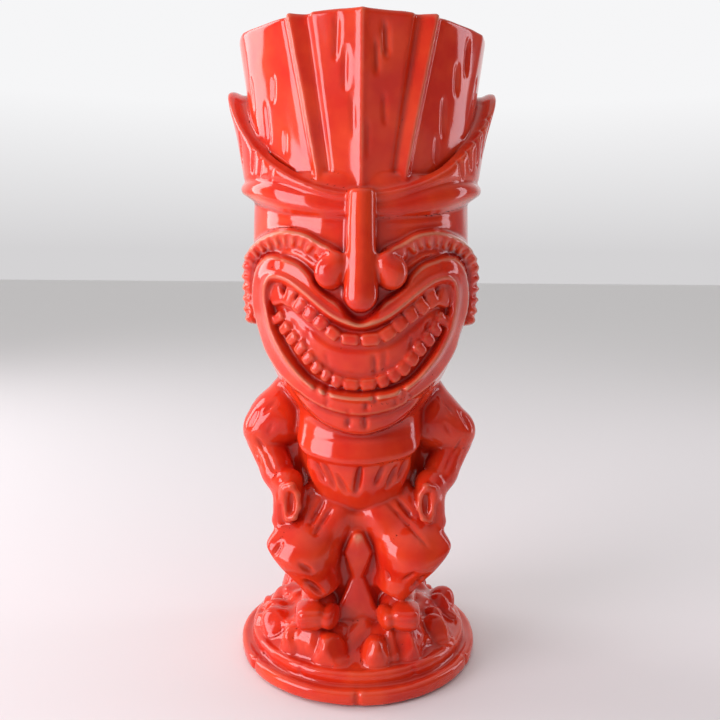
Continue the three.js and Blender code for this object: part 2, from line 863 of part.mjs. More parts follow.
/** The point beside a curve, at a distance square to it. */
function edgeOf(curve, share, point, distance) {
  const along = curve.getTangentAt(share);
  return [point.x - along.y * distance, point.y + along.x * distance];
}

/** Mirrors a block if need be and puts it in front of the face. */
function placed(block, side, at) {
  block.translate(at.x, -HEAD_RADIUS, at.y);
  return side > 0 ? block : block.rotateZ(0).applyMatrix4(MIRROR).setIndex(turnedRound(block));
}
const MIRROR = new THREE.Matrix4().makeScale(-1, 1, 1);

/** The same triangles, each the other way round. */
function turnedRound(geometry) {
  const index = Array.from(geometry.index.array);
  for (let i = 0; i < index.length; i += 3) [index[i], index[i + 1]] = [index[i + 1], index[i]];
  return index;
}

// ---------------------------------------------------------------- body relief
const chestEdge = smooth(
  bothSides([
    [0, NECK + 3],
    [12, NECK + 4],
    [19, NECK + 1],
    [18.4, NECK - 5],
    [16, NECK - 8.4],
    [0, NECK - 9.6],
  ]),
);
const bellyEdge = smooth(
  bothSides([
    [0, NECK - 4],
    [15, NECK - 4],
    [17, NECK - 10],
    [15.6, CROTCH + 7],
    [9, CROTCH + 1.4],
    [0, CROTCH - 3],
  ]),
);

// ---------------------------------------------------------------- assembly
const group = new THREE.Group();
const glaze = { color: 0xd2402a, roughness: 0.12, metalness: 0 };
const clay = { color: 0xe9dcc6, roughness: 0.85, metalness: 0 };

/** Adds a solid to the group as a named mesh. */
function add(name, solid, finish = glaze) {
  const mesh = new THREE.Mesh(geometryOf(solid), new THREE.MeshStandardMaterial(finish));
  mesh.name = name;
  group.add(mesh);
}

// plinth
add("foot", foot(), clay);
add("lower_hoop", hoop(HOOP_RADIUS, FOOT_HEIGHT, HOOP_TOP - JOINT, 0));
add("upper_hoop", hoop(STEP_RADIUS, HOOP_TOP, STEP_TOP, Math.PI / NICKS));

// legs first, because the stones and the mound are cut round them
const sides = [
  ["left", 1],
  ["right", -1],
];
const centreCut = (side) =>
  frontPrism(
    [
      [-side * 60, -10],
      [side * JOINT, -10],
      [side * JOINT, CROTCH + 30],
      [-side * 60, CROTCH + 30],
    ],
    -90,
    90,
  );
const stumpTool = grown(stumpGeometry());
const wedgeTool = grown(wedgeGeometry());
const bodyTools = [torsoSeat, stumpTool, wedgeTool];
const legTools = [];
const soleCut = below(SOLE - 2);
const stepCut = below(STEP_TOP + JOINT);
for (const [hand, side] of sides) {
  const feet = solidOf(footGeometry(side));
  const shin = solidOf(shinGeometry(side));
  const thigh = solidOf(thighGeometry(side));
  const footTool = grown(footGeometry(side));
  const shinTool = grown(shinGeometry(side));
  const thighTool = grown(thighGeometry(side));
  const middle = centreCut(side);
  add(`${hand}_foot`, cut(feet, soleCut, middle, ...bodyTools));
  add(`${hand}_shin`, cut(shin, soleCut, middle, footTool, ...bodyTools));
  add(`${hand}_thigh`, cut(thigh, middle, shinTool, footTool, ...bodyTools));
  legTools.push(footTool, shinTool, thighTool);
}

const mound = cut(heap(0), stumpTool, wedgeTool, ...legTools);
add("rock_mound", mound);
const moundTool = heap(JOINT);
const stumpBase = cut(solidOf(stumpGeometry()), torsoSeat);
add("stump", stumpBase.add(cut(solidOf(wedgeGeometry()), torsoSeat)));

const stoneTools = [];
STONES.forEach((stone, i) => {
  const tools = [stepCut, moundTool, stumpTool, ...legTools, ...stoneTools];
  add(`stone_${String(i + 1).padStart(2, "0")}`, cut(solidOf(stoneGeometry(stone)), ...tools));
  stoneTools.push(grown(stoneGeometry(stone)));
});

// torso, and the arms on it
const bellyRaised = torsoRaised(BELLY_RISE);
const chestRaised = torsoRaised(CHEST_RISE);
const chest = relief(chestEdge, chestRaised, torsoSeat);
const chestTool = frontPrism(offset(chestEdge, JOINT), -90);
const belly = relief(bellyEdge, bellyRaised, torsoSeat);
const bellyTool = frontPrism(offset(bellyEdge, JOINT), -90);
add("torso_wall", torsoWall());
add("chest", cut(chest, headSeat));
add("belly", cut(belly, chestTool, ...legTools));

const torsoReach = torsoRaised(CHEST_RISE + JOINT);
const relieved = [bellyTool, chestTool].map((tool) => tool.intersect(torsoReach));
for (const [hand, side] of sides) {
  const [upper, fore, palm, thumb] = [
    upperArmGeometry(side),
    forearmGeometry(side),
    handGeometry(side),
    thumbGeometry(side),
  ];
  const around = [headSeat, torsoSeat, stumpTool, ...relieved, ...legTools];
  add(`${hand}_upper_arm`, cut(solidOf(upper), ...around));
  add(`${hand}_forearm`, cut(solidOf(fore), grown(upper), ...around));
  const fist = solidOf(palm).add(solidOf(thumb));
  add(`${hand}_hand`, cut(fist, grown(fore), grown(upper), ...around));
  const arm = [upper, fore, palm, thumb].map(grown);
  add(`${hand}_web`, cut(solidOf(webGeometry(side)), ...arm, ...around));
}

// head and face
add("head_wall", headWall());
add("nose", nose);
const lipOuter = offset(mouthEdge, LIP_WIDTH);
const muzzleHole = frontPrism(offset(mouthEdge, LIP_WIDTH + JOINT), -90);
const armTools = sides.map(([, side]) => grown(upperArmGeometry(side)));
const muzzleTool = frontPrism(offset(muzzleEdge, JOINT), -90);
const lipTool = frontPrism(offset(lipOuter, JOINT), -90);
add(
  "muzzle",
  cut(relief(muzzleEdge, headCore(MUZZLE_RISE), headSeat), muzzleHole, noseTool, ...armTools),
);
add(
  "lips",
  cut(relief(lipOuter, headCore(LIP_RISE), headSeat), frontPrism(mouthEdge, -90), noseTool),
);
add("upper_teeth", teeth(GUM_UP, 7, 4));
add("lower_teeth", teeth(GUM_DOWN, 9, 3.4));
add("tongue", relief(tongueEdge, headCore(TONGUE_RISE), headSeat));
add(
  "chin",
  cut(relief(chinEdge, headCore(CHIN_RISE), headSeat), muzzleTool, chestTool, ...armTools),
);

const eyeRaised = headCore(EYE_RISE);
const browRaised = headCore(BROW_RISE);
const nostrilTools = sides.map(([, side]) => grown(nostrilGeometry(side)));
for (const [hand, side] of sides) {
  add(`${hand}_nostril`, cut(solidOf(nostrilGeometry(side)), noseTool, headSeat, muzzleTool));
  const eye = relief(smooth(mirrored(eyeEdge, side)), eyeRaised, headSeat, 6);
  add(`${hand}_eye`, cut(eye, muzzleTool, lipTool, noseTool, ...nostrilTools));
  const brow = relief(smooth(mirrored(browEdge, side)), browRaised, headSeat, 10);
  add(`${hand}_brow`, cut(brow, noseTool));
}

// headband and crown
const browTools = sides.map(([, side]) =>
  frontPrism(offset(smooth(mirrored(browEdge, side)), JOINT), -90, 10 + JOINT),
);
const proud = crownGeometries.filter(([name]) => /prow|rib/.test(name));
const proudTools = proud.map(([, geometry]) => grown(geometry));
add("headband", headband([noseTool, ...browTools, ...proudTools]));
add("crown_wall", crownWall());
for (const [name, geometry] of crownGeometries) {
  add(name, cut(solidOf(geometry), crownSeat, noseTool));
}

export default group;
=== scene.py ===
"""Tiki mug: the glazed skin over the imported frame.

The mug is sculpted as one field of distances on a grid, in millimetres, in the CAD's own frame.
Every CAD node owns the part of the clay that lies where it lies, so each becomes a closed piece,
and neighbours share the points of their joints, as the parts of one glazed casting do.
"""

import math
from math import cos, pi, radians, sin

import bpy
import numpy as np
from mathutils import Matrix, Vector


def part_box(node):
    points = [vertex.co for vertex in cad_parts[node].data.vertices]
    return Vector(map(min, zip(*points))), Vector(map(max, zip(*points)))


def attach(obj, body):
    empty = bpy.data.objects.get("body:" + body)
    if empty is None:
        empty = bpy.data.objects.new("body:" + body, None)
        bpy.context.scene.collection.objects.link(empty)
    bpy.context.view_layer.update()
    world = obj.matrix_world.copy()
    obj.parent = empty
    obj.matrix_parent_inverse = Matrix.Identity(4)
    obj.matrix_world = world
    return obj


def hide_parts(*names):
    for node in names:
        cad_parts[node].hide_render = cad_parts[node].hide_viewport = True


F32 = np.float32

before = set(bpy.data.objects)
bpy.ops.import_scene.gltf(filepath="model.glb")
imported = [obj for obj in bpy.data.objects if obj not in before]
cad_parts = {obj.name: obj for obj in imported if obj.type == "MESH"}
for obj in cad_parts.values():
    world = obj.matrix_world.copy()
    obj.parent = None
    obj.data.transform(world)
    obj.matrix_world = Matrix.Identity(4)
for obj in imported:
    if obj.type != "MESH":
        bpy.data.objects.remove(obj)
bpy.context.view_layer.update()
MM = 0.001


def box(node):
    """The corners of a CAD node in millimetres."""
    lo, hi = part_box(node)
    return np.array(lo) / MM, np.array(hi) / MM


# ---- landmarks, from the frame
HEAD_LO, HEAD_HI = box("head_wall")
BAND_LO, BAND_HI = box("headband")
TORSO_LO, TORSO_HI = box("torso_wall")
STEP_LO, STEP_HI = box("upper_hoop")
CROWN_HI, HOOP_HI, FOOT_HI = (box(name)[1] for name in ("crown_wall", "lower_hoop", "foot"))

# heights: the neck, the brow, the crotch, the hoops' tops and the soles of the feet
NECK, BROW, RIM = HEAD_LO[2], HEAD_HI[2], CROWN_HI[2]
BAND_TOP, FORK = BAND_HI[2], TORSO_LO[2] + 4
STEP_TOP, HOOP_TOP = STEP_HI[2] - 1.8, STEP_LO[2] - 0.8
SOLE = STEP_TOP + 8.8
# radii, and the wall
HEAD_R, RIM_R, BAND_R = HEAD_HI[1], CROWN_HI[1], BAND_HI[1]
TORSO_R, STEP_R, HOOP_R = TORSO_HI[1], STEP_HI[1], HOOP_HI[1]
CROWN_FOOT_R = HEAD_R - 2.4
WALL = 4.2

# the grid's step
PITCH = 0.5


# ---- small maths
def ease(t):
    t = np.clip(t, 0, 1)
    return t * t * (3 - 2 * t)


def smin(a, b, k):
    """The lower of two distances, blended over k."""
    if k <= 0:
        return np.minimum(a, b)
    h = np.maximum(k - np.abs(a - b), 0) / k
    return np.minimum(a, b) - h * h * (k / 4)


def smax(a, b, k):
    return -smin(-a, -b, k)


def radius(x, y, longer=1):
    """How far out from the axis a spot is, on a plan that is longer to the front."""
    ys = np.where(y < 0, y / longer, y)
    return np.sqrt(x * x + ys * ys)


def bump(distance, width):
    """1 at no distance, falling to 0 at width."""
    return np.cos(np.clip(np.abs(distance) / width, 0, 1) * (pi / 2)) ** 2


def level(pairs):
    """A smooth function through (height, value) pairs."""
    hs, vs = np.array(pairs, float).T
    dense = np.linspace(hs[0], hs[-1], 400)
    base = np.interp(dense, hs, vs)
    kernel = np.hanning(31)
    padded = np.pad(base, 15, mode="reflect", reflect_type="odd")
    soft = np.convolve(padded, kernel / kernel.sum(), mode="valid")
    return lambda z: np.interp(z, dense, soft)


def spline(points, closed=False, per=10):
    """Catmull-Rom points through the given ones."""
    p = np.array(points, float)
    p = np.vstack([p[-1:], p, p[:2]] if closed else [2 * p[0] - p[1], p, 2 * p[-1] - p[-2]])
    t = (np.arange(per) / per)[:, None]
    out = []
    for a, b, c, d in zip(p, p[1:], p[2:], p[3:]):
        square, cube = 2 * a - 5 * b + 4 * c - d, 3 * b - a - 3 * c + d
        out.extend(0.5 * (2 * b + (c - a) * t + square * t**2 + cube * t**3))
    return np.array(out if closed else [*out, p[-2]])


def both_sides(half):
    """A closed outline from its half with x >= 0, from the top of the middle to its bottom."""
    return list(half) + [(-x, z) for x, z in reversed(half) if x > 0]


class Plan:
    """A flat sheet of heights, drawn on with curves: u across and z up, in millimetres."""

    def __init__(self, u, z):
        self.u, self.z = u[:, None], z[None, :]
        self.height = np.zeros((len(u), len(z)), F32)
        self.name = np.zeros((len(u), len(z)), np.uint8)

    def near(self, line, closed=False):
        """Distance to a polyline, and how far along it the nearest point is."""
        p = np.vstack([line, line[:1]]) if closed else line
        best = np.full(self.height.shape, 1e9, F32)
        along = np.zeros_like(best)
        run = 0
        for (ax, az), (bx, bz) in zip(p[:-1], p[1:]):
            dx, dz = bx - ax, bz - az
            length2 = dx * dx + dz * dz
            if length2 < 1e-9:
                continue
            t = np.clip(((self.u - ax) * dx + (self.z - az) * dz) / length2, 0, 1)
            d = (self.u - ax - t * dx) ** 2 + (self.z - az - t * dz) ** 2
            closer = d < best
            best = np.where(closer, d, best)
            along = np.where(closer, run + t * length2**0.5, along)
            run += length2**0.5
        return np.sqrt(best), along

    def inside(self, line):
        """Where a closed outline's inside is."""
        hit = np.zeros(self.height.shape, bool)
        for (ax, az), (bx, bz) in zip(line, np.roll(line, -1, 0)):
            if az == bz:
                continue
            crosses = (self.z < az) != (self.z < bz)
            reach = (bx - ax) * (self.z - az) / (bz - az) + ax
            hit ^= crosses & (self.u < reach)
        return hit

    def signed(self, line):
        """Distance to a closed outline, below 0 inside it."""
        d, _ = self.near(line, closed=True)
        return np.where(self.inside(line), -d, d)

    def nick(self, x, z, length, turn, width=0.8, depth=0.7):
        """A chisel mark: a short groove, deepest in its middle."""
        turn = radians(turn)
        du, dz = self.u - x, self.z - z
        along = (du * sin(turn) + dz * cos(turn)) / (length / 2)
        across = (du * cos(turn) - dz * sin(turn)) / width
        r2 = along**4 + across**2
        self.height -= 1.35 * depth * np.where(r2 < 1, np.maximum(1 - r2, 0) ** 0.8, 0)

    def nicks(self, rows, across, base, up=1, deep=1):
        """Marks from rows of place across, height over base, length, turn, width and depth."""
        for u, z, length, turn, width, depth in rows:
            self.nick(u * across, base + z * up, length, turn, width, depth * deep)


class Clay:
    """Distances to the mug's surface on a grid, and the piece that owns each spot."""

    def __init__(self, lo, hi, pitch):
        self.pitch = pitch
        self.lo = np.array(lo, float)
        self.n = np.ceil((np.array(hi) - self.lo) / pitch).astype(int) + 1
        self.axes = [(self.lo[i] + pitch * np.arange(self.n[i])).astype(F32) for i in range(3)]
        self.phi = np.full(self.n, 9, F32)
        self.best = np.full(self.n, 9, F32)
        self.owner = np.zeros(self.n, np.uint8)
        self.names = [""]

    def tag(self, name):
        if name not in self.names:
            self.names.append(name)
        return self.names.index(name)

    def window(self, lo, hi):
        a = np.clip(np.floor((np.array(lo) - self.lo) / self.pitch), 0, self.n - 1).astype(int)
        b = np.clip(np.ceil((np.array(hi) - self.lo) / self.pitch) + 1, a + 1, self.n).astype(int)
        at = tuple(slice(*ends) for ends in zip(a, b))
        return at, *np.ix_(*(axis[part] for axis, part in zip(self.axes, at)))

    def measure(self, shape, lo, hi, blend):
        at, x, y, z = self.window(np.array(lo) - blend - 1, np.array(hi) + blend + 1)
        return at, shape(x, y, z).astype(F32)

    def add(self, name, shape, lo, hi, blend=1):
        """Joins a shape on. Shapes are functions of x, y and z that give a distance."""
        at, d = self.measure(shape, lo, hi, blend)
        self.join(at, d, self.tag(name), blend)

    def join(self, at, d, tag, blend):
        """Joins distances on. The tag is one piece's, or one for each spot."""
        mine = d < self.best[at]
        self.owner[at] = np.where(mine, tag, self.owner[at])
        self.best[at] = np.minimum(self.best[at], d)
        self.phi[at] = smin(self.phi[at], d, blend)

    def carve(self, shape, lo, hi, blend=0.6):
        """Takes a shape away."""
        at, d = self.measure(shape, lo, hi, blend)
        self.phi[at] = smax(self.phi[at], -d, blend)


# ---- shapes
def dot(x, y, z, at, way):
    return (x - at[0]) * way[0] + (y - at[1]) * way[1] + (z - at[2]) * way[2]


def ball(centre, radii):
    def shape(x, y, z):
        spans = list(zip((x, y, z), centre, radii))
        k0, k1 = (np.sqrt(sum(((v - c) / r**k) ** 2 for v, c, r in spans)) for k in (1, 2))
        return np.where(k1 > 1e-6, k0 * (k0 - 1) / np.maximum(k1, 1e-6), -min(radii))

    return shape, np.subtract(centre, radii), np.add(centre, radii)


def rope(points, radii, blend=2):
    """A chain of round cones."""
    p = [np.array(q, float) for q in points]

    def shape(x, y, z):
        total = None
        for a, b, ra, rb in zip(p[:-1], p[1:], radii[:-1], radii[1:]):
            ba = b - a
            t = np.clip(dot(x, y, z, a, ba) / ba.dot(ba), 0, 1)
            far = np.sqrt(sum((v - o - t * w) ** 2 for v, o, w in zip((x, y, z), a, ba)))
            d = far - ra - t * (rb - ra)
            total = d if total is None else smin(total, d, blend)
        return total

    most = max(radii)
    return shape, np.min(p, 0) - most, np.max(p, 0) + most


def boulder(centre, size, seed, facets=13, soft=0.7):
    """A stone with flat broken faces."""
    rng = np.random.default_rng(seed)
    n = rng.normal(size=(facets, 3))
    n /= np.linalg.norm(n, axis=1)[:, None]
    reach = rng.uniform(0.72, 0.96, facets)
    n = np.vstack([n, np.eye(3), -np.eye(3)])
    reach = np.concatenate([reach, np.ones(6)])
    c, s = np.array(centre, float), np.array(size, float)

    def shape(x, y, z):
        total = None
        for (nx, ny, nz), d in zip(n / s, reach):
            f = (dot(x, y, z, c, (nx, ny, nz)) - d) / math.sqrt(nx * nx + ny * ny + nz * nz)
            total = f if total is None else smax(total, f, soft)
        return total

    return shape, c - s, c + s


def groove(a, b, width):
    """A gouge between two points, for carving."""
    return rope([a, b], [width, width])


def front_of(x, z):
    """How far forward the clay reaches at x and z."""
    i = int(round((x - clay.lo[0]) / clay.pitch))
    k = int(round((z - clay.lo[2]) / clay.pitch))
    ray = clay.phi[i, :, k]
    j = int(np.argmax(ray < 0))
    t = ray[j - 1] / (ray[j - 1] - ray[j]) if j else 0
    return float(clay.axes[1][j] - clay.pitch * (1 - t))


def gouges(base, rows):
    """Chisel marks seen from the front. A row is both ends, as x and height over base, and a width."""
    for x1, z1, x2, z2, width in rows:
        z1, z2 = base + z1, base + z2
        marks = []
        for t in (0, 0.25, 0.5, 0.75, 1):
            x, z = x1 + (x2 - x1) * t, z1 + (z2 - z1) * t
            marks.append((x, front_of(x, z) + 0.45 * width, z))
        clay.carve(*rope(marks, [width * k for k in (0.75, 1.1, 1.2, 1.1, 0.7)], 0.3), blend=0.2)


def unit(v):
    return np.array(v) / math.sqrt(sum(c * c for c in v))


def polar(turn, reach, *rest):
    """A place by its turn from the front and its reach from the axis."""
    return (reach * sin(turn), -reach * cos(turn), *rest)


def limb(name, side, points, radii, join, blend):
    """A chain of round cones on one side of the body."""
    clay.add(name, *rope([(side * x, y, z) for x, y, z in points], radii, join), blend=blend)


SIDES = (("left", 1), ("right", -1))
clay = Clay((BAND_LO[0] - 3, -53, -2.5), (BAND_HI[0] + 3, BAND_HI[1] + 3, RIM + 3), PITCH)

# ---- plinth
PLINTH_LONG = 1.045  # how much longer the plinth is to the front than to the side
clay.tag("foot")


def rounded_disc(size, low, high, edge):
    def shape(x, y, z):
        r = radius(x, y, PLINTH_LONG)
        mid, half = (low + high) / 2, (high - low) / 2
        dr, dz = r - size + edge, np.abs(z - mid) - half + edge
        return (np.minimum(np.maximum(dr, dz), 0) + np.sqrt(np.maximum(dr, 0) ** 2 + np.maximum(dz, 0) ** 2)
            - edge)

    return shape, (-size, -size - 2, low), (size, size, high)


clay.add("lower_hoop", *rounded_disc(HOOP_R + 0.5, 0.35, HOOP_TOP, 1.5), blend=0.3)
clay.add("upper_hoop", *rounded_disc(STEP_R, HOOP_TOP - 2, STEP_TOP, 1.7), blend=0.9)
clay.add("foot", *rounded_disc(FOOT_HI[1], 0, FOOT_HI[2], 0.3), blend=0)


def trough(size, height, width):
    def shape(x, y, z):
        return np.sqrt((radius(x, y, PLINTH_LONG) - size) ** 2 + (z - height) ** 2) - width

    return shape, (-size - 2, -size - 4, height - 2), (size + 2, size + 2, height + 2)


clay.carve(*trough(STEP_R + 0.9, HOOP_TOP + 0.3, 0.9), blend=0.8)
clay.carve(*trough(STEP_R - 2.6, STEP_TOP + 0.1, 0.8), blend=0.9)


def nick_hoop(turns, outer, inner, low, high, sink, widths, blends):
    """Cuts down a hoop's side and in across its top, at each turn from the front."""
    for turn in turns:
        a = radians(turn)
        long = PLINTH_LONG if cos(a) > 0 else 1
        out, inn = ((sin(a) * r, -cos(a) * r * long) for r in (outer, inner))
        clay.carve(*groove((*out, low), (*out, high + 0.5), widths[0]), blend=blends[0])
        clay.carve(*groove((*out, high + sink), (*inn, high + sink), widths[1]), blend=blends[1])


nick_hoop((0, 62, -57, 118, -122, 180), HOOP_R + 0.35, HOOP_R - 3, -0.5, HOOP_TOP, 0.35, (0.9, 0.7),
    (0.4, 0.7))
nick_hoop((29, -29, 88, -84, 150, -146), STEP_R + 0.25, STEP_R - 2.2, HOOP_TOP + 1, STEP_TOP, 0.3,
    (0.75, 0.6), (0.6, 0.6))


# ---- mound and stones
def heap_top(r):
    return STEP_TOP - 0.6 + 9.2 * ease((STEP_R - 1.8 - r) / 14)


def heap(x, y, z):
    r = radius(x, y, PLINTH_LONG)
    lumps = 0.8 * np.sin(0.43 * x + 1.3) * np.sin(0.51 * y + 0.4) + 0.4 * np.sin(0.9 * x - 0.8 * y)
    over = (z - heap_top(r) - lumps * ease((STEP_R - 6 - r) / 5)) * 0.8
    return smax(over, r - STEP_R + 2.6, 1)


def egg(centre, radii, turn, lean, power=2.6, crest=0, taper=0):
    """A half-buried pebble: a rounded block, turned about the upright and leaning outwards."""
    cs, sn = cos(turn), sin(turn)

    def shape(x, y, z):
        dx, dy, dz = x - centre[0], y - centre[1], z - centre[2]
        a, b = dx * cs + dy * sn, dy * cs - dx * sn
        b = b + lean * dz
        a = a / (1 - taper * np.clip(0.5 + 0.5 * dz / radii[2], 0, 1))
        q = sum(np.abs(v / r) ** power for v, r in zip((a, b, dz), radii)) ** (1 / power)
        d = (q - 1) * min(radii)
        if crest:
            for across, cut in ((0.62, crest), (-0.7, crest * 1.08)):
                d = smax(d, (across * a - 0.62 * b + 0.4 * dz) - cut * min(radii), 0.7)
        return d

    most = max(radii) + abs(lean) * radii[2]
    return shape, np.subtract(centre, most), np.add(centre, most)


clay.add("rock_mound", heap, (-STEP_R, -STEP_R - 2, STEP_TOP - 2), (STEP_R, STEP_R, SOLE + 3), blend=0.5)
for s in (1, -1):
    clay.add("rock_mound", *ball((s * 13.4, -22.6, SOLE - 4.6), (8.4, 7.2, 5.6)), blend=3)
stones = [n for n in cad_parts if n.startswith("stone_")]
for i, name in enumerate(sorted(stones)):
    lo, hi = box(name)
    mid, half = (lo + hi) / 2, (hi - lo) / 2
    turn = math.atan2(mid[0], -mid[1])
    at = (30.2 * sin(turn), -31.4 * cos(turn), STEP_TOP + 2.4)
    wide = max(half[0], half[1]) * (1 + 0.06 * sin(1.9 * i))
    crest = 0.94 + 0.08 * sin(2.3 * i)
    clay.add(name, *egg(at, (wide, 4.6, 5.8), turn, 0.05, 2.5, crest, 0.3), blend=0.9)
    aside = turn + (0.17 if i % 2 else -0.17)
    at = (28.6 * sin(aside), -29.6 * cos(aside), STEP_TOP + 3)
    clay.add(name, *egg(at, (0.62 * wide, 4.6, 5.2), aside, 0, 2.5, crest, 0.2), blend=1)
rubble = np.random.default_rng(11)
for i in range(64):
    turn = rubble.uniform(0, 2 * pi)
    reach = rubble.uniform(19, 34)
    size = rubble.uniform(1.3, 3) * (0.75 if reach < 26 else 1)
    near_foot = abs(abs(math.degrees(turn if turn < pi else turn - 2 * pi)) - 27) < 20
    if near_foot and 20 < reach < 30:
        continue
    at = polar(turn, reach, float(heap_top(reach)) + 0.2)
    clay.add("rock_mound", *boulder(at, (size * 1.4, size * 1.2, size * 0.9), 200 + i, facets=9, soft=0.7),
        blend=1.1)

# ---- legs
clay.add("stump", *rope([(0, 6, SOLE - 4), (0, 6, SOLE + 8), (0, 6.5, FORK - 12), (0, 6, FORK + 2)],
    [20.5, 18.4, 17.2, 14.5], 4), blend=2)


def wedge(x, y, z):
    """The faceted block between the shins: a lozenge over a spreading foot."""
    up = z - (FORK - 14)
    half = np.where(up > 0, 4.3 - 0.46 * up, 4.3 + 0.3 * up)
    low = z - (FORK - 23)
    half = np.where(low < 0, 1.9 - 0.45 * low, np.maximum(half, 1.6)) + 0 * x
    front = -(y + 20.8 - 0.16 * np.abs(x + 0.4) + 0.16 * np.abs(low + 0.6))
    return smax(smax(front * 0.9, (np.abs(x + 0.2) - half) * 0.8, 0.7), z - FORK + 7, 1.5)


clay.add("stump", wedge, (-9, -22, SOLE - 2), (9, 0, FORK - 4), blend=0.8)


def calf(x, y, z, side):
    """The flat that runs from the knee's outer corner down the calf."""
    return dot(x, y, z, np.array((side * 28.4, -14, FORK - 13.6)), unit((0.76, 0, -0.65)) * (side, 1, 1))


def webbing(x, y, z):
    """The clay left between the legs, a little behind their fronts."""
    front = -(y + 18.9 - 0.06 * np.abs(x) + 0.05 * (z - FORK + 22))
    return smax(smax(front, np.abs(x) - 11.5, 2), z - FORK + 1, 2)


clay.add("stump", webbing, (-12, -22, SOLE - 3), (12, 0, FORK - 1), blend=1.5)
for hand, s in SIDES:
    # the thigh: from the haunch round to a blunt knee, with one flat face along its front
    hip, knee = np.array([(s * 10.4, -10.6, FORK - 3.4), (s * 18.6, -17.4, FORK - 14)])
    run = unit(knee - hip)
    toward = np.array((0, -0.93, 0.37))
    facing = unit(toward - toward.dot(run) * run)
    inward = np.cross(run, facing) * s
    flat = facing * cos(0.22) - inward * sin(0.22)
    ham = rope([(s * 10, 10, FORK - 3), (s * 9.6, 0, FORK - 1), hip, knee, knee + 12 * run],
        [12.8, 11.8, 11.6, 11.4, 11.4], 3)

    def thigh(x, y, z):
        d = ham[0](x, y, z)
        past = ease(dot(x, y, z, knee, run) / 14 + 1.3)
        d = smax(d, dot(x, y, z, knee, flat) - 9 - 2 * (1 - past), 2.4)
        d = smax(d, dot(x, y, z, knee, -inward) - 10.6, 2.4)
        d = smax(d, dot(x, y, z, knee + 5.4 * run, unit(run + (0, 0.3, -0.5))), 4.5)
        return smax(d, calf(x, y, z, s), 1.6)

    clay.add(f"{hand}_thigh", thigh, ham[1], ham[2], blend=1.2)
    # the shin: a leg that narrows to a hem standing over the foot
    top, ankle = np.array([(s * 17, -18.2, FORK - 15), (s * 13.2, -17.8, FORK - 25.4)])
    along = unit((-0.3 * s, 0.08, -0.95))
    leg = rope([top, ankle, ankle + 5 * along], [11.2, 7, 6], 3)

    def shin(x, y, z):
        d = smax(leg[0](x, y, z), dot(x, y, z, ankle + 2.6 * along, along), 0.8)
        return smax(d, calf(x, y, z, s), 1.6)

    clay.add(f"{hand}_shin", shin, leg[1], leg[2], blend=2.2)
    # the foot: an instep, a broad outer toe and a narrow inner one
    limb(f"{hand}_foot", s, [(12.5, -9, SOLE + 4), (13, -19, SOLE + 3.4)], [7, 6], 2, 0.8)
    toe = (s * 15.2, -25.4, SOLE + 3.6)
    clay.add(f"{hand}_foot", *egg(toe, (4.7, 5.6, 4), -0.1 * s, 0.1, 3.2), blend=0.5)
    nail = [(s * 11.6, -30.4, SOLE + 3.9), (s * 15.4, -31.2, SOLE + 3.7), (s * 19.4, -29.8, SOLE + 3.9)]
    clay.carve(*rope(nail, [0.5, 0.6, 0.5], 0.3), blend=0.5)
    toe = (s * 8.6, -25.6, SOLE + 3.2)
    clay.add(f"{hand}_foot", *egg(toe, (2.5, 5.2, 3.5), 0.26 * s, 0.1, 2.5), blend=0.3)

LEG_GOUGES = [(-11.4, 2.2, -15.2, -4.6, 0.8), (-8.4, 0.6, -13.6, -6.8, 0.7),
    (-24.2, -9.6, -26.8, -13.6, 0.7), (-14.2, -17.4, -18, -14.4, 0.8), (-11.2, -26.2, -16.8, -20.8, 0.9),
    (-27, -17, -23.4, -21.6, 0.7), (12.6, 2.6, 17, -2.6, 0.8), (9.6, 1.6, 21.4, -9.4, 0.6),
    (21, -18.6, 17.6, -23.6, 0.8), (26.8, -17.6, 24.6, -20.2, 0.8), (8.6, -18.4, 10.2, -21.4, 0.7),
    (28.6, -7, 30.2, -12.6, 0.7), (14.4, -20.4, 17.6, -17, 0.7)]

# ---- torso
BODY_DEEP = 1.08  # how much deeper the body is to the front than to the side
torso_out = level([(FORK - 4, 0.55 * TORSO_R), (FORK + 2.5, 0.8 * TORSO_R), (FORK + 9, 0.95 * TORSO_R),
    (FORK + 17.5, TORSO_R), (NECK, 0.93 * TORSO_R), (NECK + 6, 0.9 * TORSO_R)])


def trunk(x, y, z):
    """Distance out from the trunk's column."""
    return radius(x, y, BODY_DEEP) - torso_out(z)


def torso(x, y, z):
    return np.maximum(trunk(x, y, z), np.abs(z - (FORK + NECK) / 2) - 17)


clay.add("torso_wall", torso, (-24, -26, FORK - 6), (24, 24, NECK + 6), blend=2)

for hand, s in SIDES:
    clay.add(f"{hand}_web", *ball((s * 22, 2.5, FORK + 13), (11, 9.5, 18)), blend=1.6)


def belly(x, y, z):
    """The belly plate: a V from the chest down to the crotch."""
    half = 16.8 - 0.022 * np.maximum(NECK - 12 - z, 0) ** 2 - 0.25 * np.maximum(NECK - 12 - z, 0)
    out = trunk(x, y, z) - 3.6 - 0.02 * (z - FORK)
    low = FORK - 0.8 + 0.36 * np.abs(x)
    return smax(smax(out, (np.abs(x) - half) * 0.8, 1.4), (low - z) * 0.9, 1.5)


clay.add("belly", belly, (-18, -30, FORK - 3), (18, -10, NECK - 4), blend=1)


def chest(x, y, z):
    """The breast slab, with its lower edge standing over the belly."""
    low = NECK - 8.6 + 0.006 * x * x
    out = trunk(x, y, z) - 5.4 + 1.2 * ease((z - low) / 9)
    return smax(smax(out, (low - z) * 0.8, 1.5), (np.abs(x) - 20.5) * 0.8, 3)


